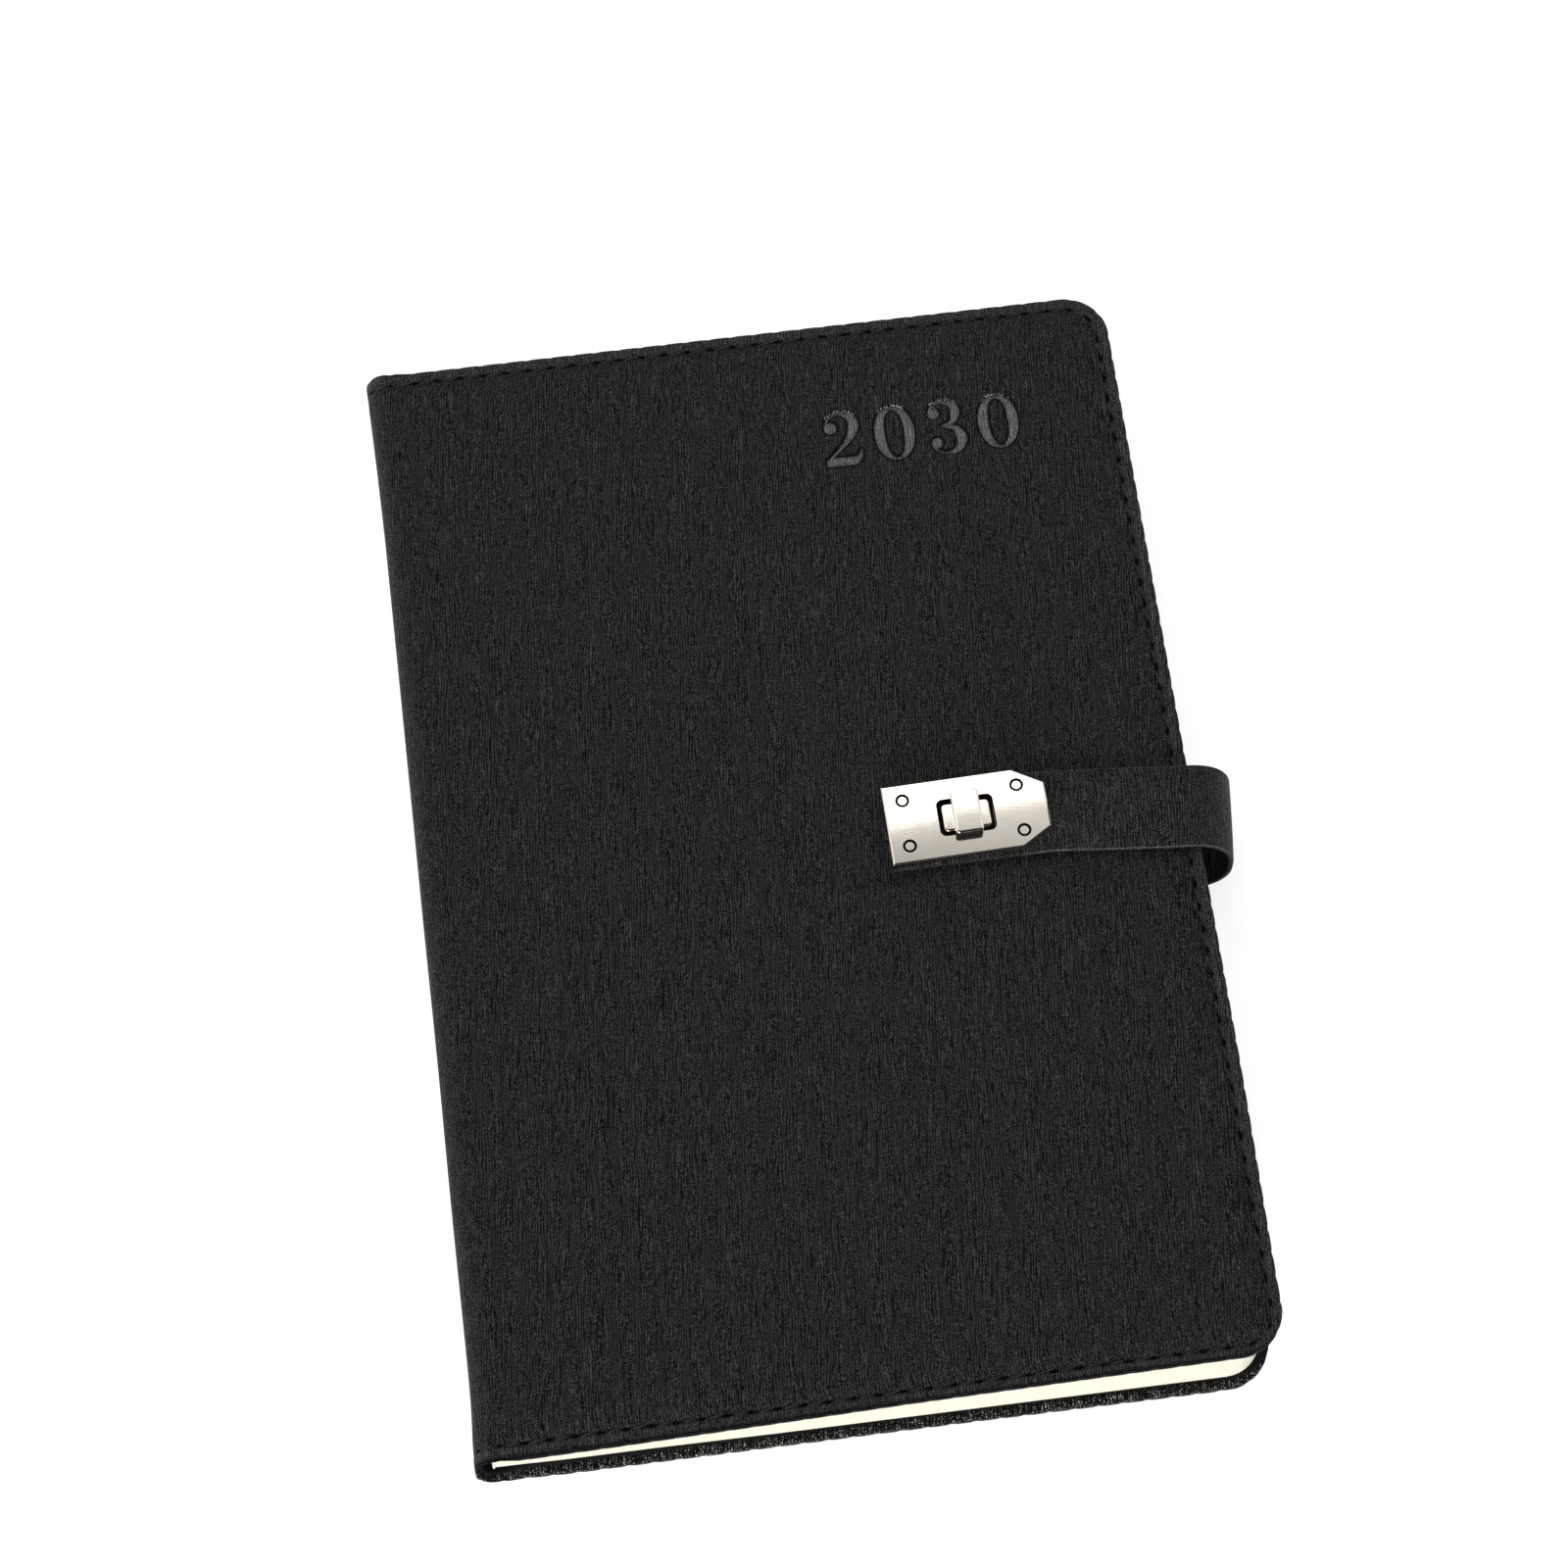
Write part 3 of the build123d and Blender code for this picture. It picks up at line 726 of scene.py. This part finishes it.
# Sewn border: inset from the edge, depth below its top, sink at a needle hole, pull-in at a needle hole
rimProfile = np.array([
    (3.20, 1.00, 0.00, 0.00), (2.90, 0.50, 0.20, 0.00), (2.68, 0.24, 0.34, 0.00), (2.45, 0.18, 0.36, 0.00),
    (2.20, 0.08, 0.24, 0.00), (1.90, 0.01, 0.10, 0.00), (1.35, -0.04, 0.06, 0.02), (0.80, -0.02, 0.04, 0.06),
    (0.38, 0.07, 0.03, 0.10), (0.15, 0.24, 0.01, 0.14), (0.03, 0.48, 0.00, 0.17), (0.00, 0.80, 0.00, 0.17),
    (0.00, 1.45, 0.00, 0.12), (0.06, 1.72, 0.00, 0.07), (0.22, 1.87, 0.00, 0.02), (0.50, 1.90, 0.00, 0.00),
    (3.20, 1.90, 0.00, 0.00)])
border = {
    "step": 0.6, "pull": 0.6, "foreFade": (60, 10), "topDepth": 1.1, "foldInset": 1.8, "foldShare": 0.55,
    "markInset": 2.3, "mark": 0.1, "seamInset": 2.1, "seamDark": 0.35, "wallInset": 1.0,
    "wallDepth": (0.05, 0.45), "tailInset": (1.2, 0.2),
}


def coverRim(name, section, facts):
    # The border's profile carried round the edge, thinner in the spine and pulled in at every needle hole.
    # At the tail the edge is cut by a trim that changes along the run, and by one towards the fore corner.
    length = outlineLength(section, 0, 0)
    places = np.linspace(0, length, int(length / border["step"]))
    run, across, heading, atEdge = outlinePath(section, 0, 0, places)
    holes = seamPath(section, needlePlaces(section))[3]
    near = bell(np.abs(atEdge[:, None] - holes).min(1), 0, border["pull"])[:, None]
    inset, depth, sink, pull = rimProfile.T
    onTop = depth < border["topDepth"]
    atTail = np.maximum(np.cos(heading), 0)
    fadeStart, fadeEnd = (end - halfHeight for end in border["foreFade"])
    cut = np.interp(run, *zip(*facts["tailTrim"])) * atTail
    cut = cut + facts["foreTrim"] * np.sin(heading) * smoothStep(fadeStart, fadeEnd, across)
    inward = inset + pull * near + cut[:, None] * np.clip(1 - inset / stitching["inset"], 0, 1)
    level = rimHeight(section, run)[:, None]
    thin = (skinDepth(section, run)[:, None] + level) / (cover["panelSkin"] - cover["rimDrop"])
    thin = np.where((inset > border["foldInset"]) & onTop, np.maximum(thin, border["foldShare"]), thin)
    height = level - thin * (depth + sink * near)
    points = placeOn(section, run[:, None] - np.sin(heading)[:, None] * inward, height,
                     across[:, None] + np.cos(heading)[:, None] * inward)
    index = np.arange(height.size).reshape(height.shape)
    piece = makePiece(name, points, tubeFaces(index), coverLeather, endFaces(index))
    atTail = atTail[:, None]
    # Painted shade: the rim's steep outer wall, its top near the edge along the tail, and the sewn groove go
    # dark
    wall = np.where(inset < border["wallInset"], smoothStep(*border["wallDepth"], depth), 0)
    wall = np.maximum(wall, atTail * smoothStep(*border["tailInset"], inset) * onTop)
    seam = np.where((inset > border["seamInset"]) & onTop, border["seamDark"], 0)
    # The border outside the sewn line takes a little of the same painted sheen
    marked = np.where(inset < border["markInset"], border["mark"], 0)
    pointValues(piece, "stamp", np.broadcast_to(marked, height.shape))
    pointValues(piece, "paintedShade", np.maximum(wall * facts["wallDark"], seam))
    # Sparse painted glints on the back cover's tail wall
    pointValues(piece, "paintedLipGlint", wall * atTail * facts["wallGlint"])
    return piece


def seamPoints(section, place, course, forward, sideways, upward):
    # Points given along, across and above the groove of the sewn line at each place on it
    run, across = place
    alongRun = run + np.cos(course) * forward - np.sin(course) * sideways
    alongSide = across + np.sin(course) * forward + np.cos(course) * sideways
    groove = rimHeight(section, run) - stitching["seamDepth"]
    return placeOn(section, alongRun, groove + upward, alongSide)


def coverStitches(name, section):
    # Each stitch is a short thread that rises from a needle hole, crosses at a slant and dips into the next
    holes = needlePlaces(section)
    path = seamPath(section, (holes[1:] + holes[:-1]) / 2)
    run, across, heading = (part[:, None, None] for part in path[:3])
    u = np.linspace(-1, 1, stitching["rings"])[:, None]
    angle = np.arange(stitching["sides"]) * 2 * math.pi / stitching["sides"]
    girth = stitching["radius"] * np.sqrt(np.maximum(1 - u ** stitching["endPower"], stitching["endGirth"]))
    dip = (stitching["rise"] + stitching["sink"]) * np.abs(u) ** stitching["archPower"]
    forward = u * stitching["length"] / 2 + 0 * angle
    upward = stitching["rise"] - dip + girth * np.sin(angle)
    points = seamPoints(section, (run, across), heading + stitching["slant"],
                        forward, girth * np.cos(angle), upward)
    ring = np.arange(points[..., 0].size).reshape(points.shape[:3])
    faces = [face for one in ring for face in tubeFaces(one)]
    ends = ring[:, 0, ::-1].tolist() + ring[:, -1].tolist()
    return makePiece(name, points, faces + ends, plain["twistedThread"])


def needleHoles(name, section):
    # Black lenses that paint the shade in the needle holes where the thread goes down:
    # a top point, a ring and a bottom point each
    run, across, heading = (part[:, None] for part in seamPath(section, needlePlaces(section))[:3])
    count = stitching["holeSides"]
    k = np.arange(count)
    angle = k * 2 * math.pi / count
    along = np.concatenate([[0], np.cos(angle), [0]]) * stitching["hole"]
    aside = np.concatenate([[0], np.sin(angle), [0]]) * stitching["holeWidth"]
    upward = np.concatenate([[0.5], 0 * angle, [-0.5]]) * stitching["holeThick"] - stitching["holeSink"]
    points = seamPoints(section, (run, across), heading, along, aside, upward)
    upper = np.stack([0 * k, 1 + k, 1 + (k + 1) % count], -1)
    lower = np.stack([0 * k + count + 1, 1 + (k + 1) % count, 1 + k], -1)
    firsts = (count + 2) * np.arange(len(run))
    faces = (np.concatenate([upper, lower])[None] + firsts[:, None, None]).reshape(-1, 3)
    return makePiece(name, points, faces.tolist(), plain["paintedHoleShade"])


covers = {
    "front": {
        "section": frontSection, "bodies": ("spine", "front_cover"), "stamped": True,
        "tailTrim": ((0, 0.0), (10, -0.2), (30, -0.1), (60, 0.2), (80, 0.45), (150, 0.65)), "foreTrim": 0.5,
        "wallDark": 0.9, "wallGlint": 0.0,
        "skinNodes": ("front_skin", "front_padding", "spine_skin"),
        "liningNodes": ("front_lining", "spine_lining")},
    "back": {
        "section": backSection, "bodies": ("back_cover", "spine"), "stamped": False,
        "tailTrim": ((0, -0.2), (20, -0.7), (90, -0.7), (135, -0.9), (148, -0.5)), "foreTrim": 1.2,
        "wallDark": 0.72, "wallGlint": 0.1,
        "skinNodes": ("back_skin", "back_padding"), "liningNodes": ("back_lining",)},
}
for side, facts in covers.items():
    section = facts["section"]
    start, end = foldEnds(section)
    if side == "back":
        start, end = end, start
    skin = coverSkin(side + "Skin", section, facts["stamped"])
    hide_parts(*facts["skinNodes"])
    rim = coverRim(side + "Rim", section, facts)
    inside = coverLining(side + "Lining", section)
    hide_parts(*facts["liningNodes"])
    thread = coverStitches(side + "Stitches", section)
    holes = needleHoles(side + "NeedleHoles", section)
    for piece in (skin, rim, inside, thread, holes):
        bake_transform(piece)
    print("%s cover: %d triangles of skin" % (side, sum(len(p.vertices) - 2 for p in skin.data.polygons)))


# Leaves: each folded section is a stack of leaf edges in a wedge that opens towards the fore edge
leaves = {
    "cornerRadius": 7.0, "perSection": 10, "perFlyleaf": 2, "groove": 0.10, "sectionGroove": 0.16,
    "uneven": (0.01, 0.05), "flat": (0.2, 0.8), "seed": 11, "perSide": 24, "perCorner": 9, "tailReach": 40.0,
    "tailCut": ((-70, 0.2), (-60, 0.0), (-45, 0.0), (-20, -0.2), (60, -0.3)),
}
rearLow, rearHigh = boxMm("rear_flyleaf")
leafBack = rearLow[0]
leafFront, leafHalf, _ = rearHigh
clothLow, clothHigh = boxMm("rear_spine_cloth")
frontClothLow, frontClothHigh = boxMm("front_spine_cloth")
backDepth = (clothHigh[2] - clothLow[2]) + (frontClothHigh[2] - frontClothLow[2])
frontLift = frontClothHigh[2] - backDepth - rearLow[2]
foreDepth = boxMm("front_flyleaf")[1][2] - rearLow[2] - frontLift


def leafOutline():
    # Plan of a leaf from its back at the tail, round both fore corners, to its back at the head, with the
    # outward directions. The tail is cut a little out of square.
    radius = leaves["cornerRadius"]
    straight = np.linspace(leafBack, leafFront - radius, leaves["perSide"])
    upright = np.linspace(radius - leafHalf, leafHalf - radius, leaves["perSide"])[1:-1]
    arc = np.linspace(-math.pi / 2, 0, leaves["perCorner"] + 1)[1:]
    x = np.concatenate([straight, leafFront - radius + radius * np.cos(arc), 0 * upright + leafFront])
    y = np.concatenate([0 * straight - leafHalf, radius - leafHalf + radius * np.sin(arc), upright])
    outX = np.concatenate([0 * straight, np.cos(arc), 0 * upright + 1])
    outY = np.concatenate([0 * straight - 1, np.sin(arc), 0 * upright])
    mirrored = slice(len(straight) + len(arc) - 1, None, -1)
    x, outX = (np.concatenate([part, part[mirrored]]) for part in (x, outX))
    y, outY = (np.concatenate([part, -part[mirrored]]) for part in (y, outY))
    cut = np.interp(x, *zip(*leaves["tailCut"]))
    return x, y + cut * smoothStep(leaves["tailReach"] - leafHalf, -leafHalf, y), outX, outY


planX, planY, planOutX, planOutY = leafOutline()
unevenness = np.random.default_rng(leaves["seed"])


def leafStack(node, count):
    # Rows of outline, drawn in at the grooves between leaves and uneven by a hair from leaf to leaf
    low, high = boxMm(node)
    floor = rearLow[2] + (frontLift if node.startswith("front") else 0)
    lowShare = (low[2] - floor) / backDepth
    highShare = (high[2] - floor) / foreDepth
    edge = unevenness.uniform(*leaves["uneven"], count)
    groove = np.full(count + 1, leaves["groove"])
    groove[[0, -1]] = leaves["sectionGroove"]
    level = np.append(np.arange(count)[:, None] + np.array([0, *leaves["flat"]]), count) / count
    drawn = np.append(np.stack([groove[:-1], edge, edge], -1), groove[-1])[:, None]
    share = (lowShare + (highShare - lowShare) * level)[:, None]
    x = planX - planOutX * drawn
    y = planY - planOutY * drawn
    fore = (planX - leafBack) / (leafFront - leafBack)
    z = floor + share * (backDepth + (foreDepth - backDepth) * fore)
    index = np.arange(x.size).reshape(x.shape)
    first, *rest = node.split("_")
    name = first + "".join(word.capitalize() for word in rest)
    piece = makePiece(name, np.stack([x, y, z], -1), [], pagePaper, tubeFaces(index) + endFaces(index))
    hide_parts(node)
    return piece


for half, body in (("rear", "back_cover"), ("front", "front_leaves")):
    stacks = [leafStack(half + "_flyleaf", leaves["perFlyleaf"])]
    stacks += [leafStack("%s_signature_%d" % (half, k), leaves["perSection"]) for k in range(1, 5)]
    for stack in stacks:
        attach(stack, body)
print("leaves: %.2f mm at the back, %.2f mm at the fore edge" % (backDepth, foreDepth))


# Strap: a band with rounded cut edges, carried from the back cover round the loop to the lock
strap = {
    "thickness": 1.0, "width": 16.0, "lowerRadius": 6.6, "upperRadius": 9.8, "edgeRound": 0.32, "crown": 0.07,
    "crownFrom": 0.6, "highlightSpan": (0.6, 0.8), "sewnIn": 6.0, "skew": 0.12, "drift": 1.2, "lockFront": 15.1,
    "lockEnd": 15.6, "lockShift": 0.25, "slotHalf": 5.75, "slotHalfWidth": 4.1, "perCorner": 5,
    "perWidth": 11, "perBend": (28, 30), "perStraight": 6, "tailStep": 1.5, "tongueStep": 1.0,
}
loopLow, loopHigh = boxMm("strap_loop")
loopY = (loopLow[1] + loopHigh[1]) / 2
upperY = loopY + strap["drift"] / 3
lowerY = loopY - strap["drift"] * 2 / 3
halfStrap = strap["thickness"] / 2
riseX = loopHigh[0] - halfStrap
floorZ = boxMm("strap_tail")[0][2] + halfStrap
lowerBend = np.array([riseX - strap["lowerRadius"], floorZ + strap["lowerRadius"]])
upperBend = hingeMm("strap_open")[[0, 2]] - (strap["upperRadius"] + halfStrap) * math.sin(math.pi / 4)
slopeAlong = np.array([math.cos(gape), math.sin(gape)])
slopeUp = np.array([-math.sin(gape), math.cos(gape)])
bendEnd = upperBend + strap["upperRadius"] * slopeUp
bendEndFromLock = (bendEnd - lockPoint[[0, 2]]) @ slopeAlong


def bandProfile(width):
    # Rounded rectangle, slightly crowned on its outer face, and marks for a painted highlight along its two
    # upper edges
    half, radius = width / 2, strap["edgeRound"]
    corner = np.linspace(0, math.pi / 2, strap["perCorner"])
    across = np.linspace(-1, 1, strap["perWidth"])[1:-1]
    pieces = []
    for quarter, (sideSign, upSign) in enumerate(((1, 1), (-1, 1), (-1, -1), (1, -1))):
        a = corner + quarter * math.pi / 2
        pieces.append(np.stack([sideSign * (half - radius) + radius * np.cos(a),
                                upSign * (halfStrap - radius) + radius * np.sin(a)], -1))
        if quarter in (0, 2):
            row = -upSign * across
            pieces.append(np.stack([row * (half - radius), 0 * row + upSign * halfStrap], -1))
    ring = np.concatenate(pieces)
    side = (np.abs(ring[:, 0]) - half + radius) / radius
    highlightFrom, highlightTo = strap["highlightSpan"]
    # Painted highlight along the upper rounded edges
    worn = np.where((ring[:, 1] > 0) & (side > highlightFrom) & (side < highlightTo), 1.0, 0.0)
    crown = strap["crown"] * (1 - (ring[:, 0] / half) ** 2)
    ring[:, 1] += np.where(ring[:, 1] > halfStrap * strap["crownFrom"], crown, 0)
    return ring, worn


def carriedBand(line, normal, middleY, skew, width, highlightShare):
    # The profile carried along a line in the plane across the book, skewed where the band runs aslant
    ring, worn = bandProfile(width)
    x = line[:, :1] + normal[:, :1] * ring[None, :, 1] + skew[:, None] * ring[None, :, 0]
    z = line[:, 1:] + normal[:, 1:] * ring[None, :, 1]
    y = middleY[:, None] + ring[None, :, 0]
    return np.stack([x, y, z], -1), worn * np.broadcast_to(highlightShare, len(line))[:, None]


def bandPiece(name, bands):
    points, faces, ends, marks, start = [], [], [], [], 0
    for rows, worn in bands:
        index = start + np.arange(rows[..., 0].size).reshape(rows.shape[:2])
        faces += tubeFaces(index)
        ends += endFaces(index)
        points.append(rows.reshape(-1, 3))
        marks.append(worn.ravel())
        start += index.size
    piece = makePiece(name, np.concatenate(points), faces, strapLeather, ends)
    pointValues(piece, "paintedEdgeHighlight", np.concatenate(marks))
    return piece


def straightLine(x, z, normal):
    line = np.stack(np.broadcast_arrays(x, z), -1)
    return line, np.broadcast_to(normal, line.shape)


def arcLine(centre, radius, start, end, count):
    a = np.linspace(start, end, count)
    direction = np.stack([np.cos(a), np.sin(a)], -1)
    return centre + radius * direction, direction


def joined(*parts):
    lines, normals = zip(*parts)
    return np.concatenate(lines), np.concatenate(normals)


def tongueLine(fromLock):
    # Points along the cover's slope at distances from the lock's axis, positive towards the fore edge
    line = bendEnd + np.outer(fromLock - bendEndFromLock, slopeAlong)
    share = np.clip((fromLock - strap["lockFront"]) / (bendEndFromLock - strap["lockFront"]), 0, 1)
    plateY = lockPoint[1] - strap["lockShift"]
    middle = plateY + (upperY - plateY) * share
    return line, np.broadcast_to(slopeUp, line.shape), middle, strap["skew"] * smoothStep(0, 0.5, share)


def loopMiddle(line):
    # Middle of the strap round the loop: it runs on aslant a little as it comes down to the back cover
    return lowerY + (upperY - lowerY) * smoothStep(floorZ, bendEnd[1], line[:, 1])


def fullSkew(count):
    return np.full(count, strap["skew"])


count = strap["perStraight"]
width, slotHalf = strap["width"], strap["slotHalf"]
midRise = (lowerBend[1] + upperBend[1]) / 2
tailX = spread(foreX - strap["sewnIn"], lowerBend[0], strap["tailStep"])[:-1]
lowerLine, lowerNormal = joined(
    straightLine(tailX, floorZ, (0.0, -1.0)),
    arcLine(lowerBend, strap["lowerRadius"], -math.pi / 2, 0, strap["perBend"][0]),
    straightLine(riseX, np.linspace(lowerBend[1], midRise, count)[1:], (1.0, 0.0)))
lowerBand = carriedBand(lowerLine, lowerNormal, loopMiddle(lowerLine), fullSkew(len(lowerLine)), width, 1)
strapLower = bandPiece("strapLower", [lowerBand])
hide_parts("strap_tail")
bentLine, bentNormal = joined(
    straightLine(riseX, np.linspace(midRise, upperBend[1], count)[:-1], (1.0, 0.0)),
    arcLine(upperBend, strap["upperRadius"], 0, math.pi / 2 + gape, strap["perBend"][1]))
bent = (bentLine, bentNormal, loopMiddle(bentLine), fullSkew(len(bentLine)))
tongue = tongueLine(spread(bendEndFromLock, slotHalf, strap["tongueStep"])[1:])
upper = [np.concatenate(pair) for pair in zip(bent, tongue)]
# The painted edge highlight fades out under the lock's plate
pastPlate = smoothStep(slotHalf, strap["lockFront"], (upper[0] - lockPoint[[0, 2]]) @ slopeAlong)
bands = [carriedBand(*upper, width, pastPlate)]
railWidth = width / 2 - strap["slotHalfWidth"]
line, normal, middle, skew = tongueLine(np.linspace(slotHalf, -slotHalf, count))
for sideSign in (-1, 1):
    railMiddle = middle + sideSign * (width - railWidth) / 2
    bands.append(carriedBand(line, normal, railMiddle, skew, railWidth, 0))
bands.append(carriedBand(*tongueLine(np.linspace(-slotHalf, -strap["lockEnd"], count)), width, 0))
strapUpper = bandPiece("strapUpper", bands)
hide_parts("strap_loop", "strap_tongue")
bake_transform(strapLower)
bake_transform(strapUpper)
print("strap: reaches %.1f mm past the fore edge" % (loopHigh[0] - foreX))


# Shadow lines round the rivet heads, in the grooves of the lock's plate
rings = {"places": ((-11.2, -4.5), (-11.2, 4.5), (10.0, -4.5), (10.0, 4.5)), "inner": 0.83, "outer": 1.305,
         "floor": 3.56, "top": 3.87, "count": 24, "lockTurn": 1.1}


def rivetRings():
    # Flat ring: a rectangle of radius and level carried round a circle at each rivet
    angle = np.arange(rings["count"])[:, None] * 2 * math.pi / rings["count"]
    radius = np.array([rings["inner"], rings["outer"], rings["outer"], rings["inner"]])
    level = np.array([rings["floor"], rings["floor"], rings["top"], rings["top"]])
    points, faces = [], []
    turn = math.radians(rings["lockTurn"])
    for number, (along, across) in enumerate(rings["places"]):
        u = along * math.cos(turn) - across * math.sin(turn) + np.cos(angle) * radius
        y = lockPoint[1] + along * math.sin(turn) + across * math.cos(turn) + np.sin(angle) * radius
        x = lockPoint[0] + u * slopeAlong[0] + level * slopeUp[0]
        z = lockPoint[2] + u * slopeAlong[1] + level * slopeUp[1]
        index = number * x.size + np.arange(x.size).reshape(x.shape)
        faces += tubeFaces(np.concatenate([index, index[:1]]))
        points.append(np.stack([x, y, z], -1).reshape(-1, 3))
    piece = makePiece("rivetRings", np.concatenate(points), [], plain["ringBlack"], faces)
    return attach(piece, "strap_tongue")


rivetRings()
print("lock: dressed")


# Stage: lengths in metres, angles in degrees; each shade is a direction with its outer and inner angle
stage = {
    "half": 3.0, "drop": 0.0002, "floor": 0.62, "floorSpeck": 0.01, "lift": 0.78, "sky": 0.34, "shade": 0.03,
    "shades": (((-0.112, -0.404, 0.908), 50.5, 30.0), ((0.3, -0.80, 0.52), 58.0, 44.0)),
    "keyLamp": {"place": (-0.4, -1.13, 0.27), "size": 0.65, "power": 15.5},
    "fillLamp": {"place": (-0.15, 0.70, 0.90), "size": 0.75, "power": 2.4},
}


def seenRays(tree):
    # 1 for what the camera sees, directly, reflected or through a clear piece; then 1 for reflections alone
    path = tree.nodes.new("ShaderNodeLightPath").outputs
    seen = math2("MAXIMUM", path["Is Camera Ray"], path["Is Glossy Ray"])
    return math2("MAXIMUM", seen, path["Is Transmission Ray"]), path["Is Glossy Ray"]


def paleFloor():
    # Floor that shows its own shadow; a little glow, seen by camera and reflections only, makes it white
    material, tree, shader = newMaterial("paleFloor")
    speck = noiseOf(mapped(objectPoints(tree), (40, 40, 40)))
    level = stage["floor"]
    setInputs(shader, {
        "Base Color": mixColor(speck, (level,) * 3, (level + stage["floorSpeck"],) * 3),
        "Roughness": 0.9, "Specular IOR Level": 0.0, "Emission Color": (1, 1, 1),
        "Emission Strength": times(seenRays(tree)[0], stage["lift"])})
    half = stage["half"]
    corners = ((-half, -half), (half, -half), (half, half), (-half, half))
    mesh = bpy.data.meshes.new("floor")
    mesh.from_pydata([(x, y, -stage["drop"]) for x, y in corners], [], [(0, 1, 2, 3)])
    mesh.materials.append(material)
    addObject("floor", mesh)


def whiteRoom():
    # White all round, apart from two dark patches, overhead and to the fore, that only reflections show
    world = bpy.data.worlds.new("whiteRoom")
    bpy.context.scene.world = world
    world.use_nodes = True
    tree = world.node_tree
    seen, reflected = seenRays(tree)
    place = tree.nodes.new("ShaderNodeTexCoord").outputs["Generated"]
    patches = []
    for direction, rim, core in stage["shades"]:
        toward = tree.nodes.new("ShaderNodeVectorMath")
        toward.operation = "DOT_PRODUCT"
        put(toward.inputs[0], place)
        put(toward.inputs[1], direction)
        limits = (math.cos(math.radians(angle)) for angle in (rim, core))
        patches.append(ramp(toward.outputs["Value"], *limits))
    patch = times(math2("MAXIMUM", *patches), reflected)
    setInputs(tree.nodes["Background"], {"Color": mixColor(patch, (1, 1, 1), (stage["shade"],) * 3),
                                         "Strength": ramp(seen, 0, 1, stage["sky"], 1.0)})


def addFacing(name, data, place, forward, upright):
    # Lamp or camera at a place, looking along a direction, with its own up as near as may be to another
    forward = np.array(forward) / np.linalg.norm(forward)
    right = np.cross(forward, upright)
    right /= np.linalg.norm(right)
    up = np.cross(right, forward)
    holder = addObject(name, data)
    rows = [[right[k], up[k], -forward[k], place[k]] for k in range(3)]
    holder.matrix_world = Matrix(rows + [[0, 0, 0, 1]])
    return holder


def softLamp(name):
    lamp = bpy.data.lights.new(name, "AREA")
    lamp.shape = "SQUARE"
    lamp.size = stage[name]["size"]
    lamp.energy = stage[name]["power"]
    place = np.array(stage[name]["place"])
    addFacing(name, lamp, place, -place, (0, 0, 1))


# Camera worked out from the cover's outline in the photograph, in the shared frame
camera = {
    "place": (-61.12, -283.32, 728.07), "forward": (0.11185, 0.40383, -0.90797),
    "up": (0.10607, 0.90363, 0.41496), "lens": 96.0, "sensor": 36.0, "shift": (-0.10375, -0.0791),
    "clipStart": 0.01,
}


def photoCamera():
    lens = bpy.data.cameras.new("photoCamera")
    lens.lens = camera["lens"]
    lens.sensor_width = camera["sensor"]
    lens.shift_x, lens.shift_y = camera["shift"]
    lens.clip_start = camera["clipStart"]
    place = np.array(camera["place"]) * mm
    bpy.context.scene.camera = addFacing("photoCamera", lens, place, camera["forward"], camera["up"])


paleFloor()
whiteRoom()
softLamp("keyLamp")
softLamp("fillLamp")
photoCamera()
bpy.context.scene.view_settings.view_transform = "Standard"
print("stage: floor, lamps and camera set")
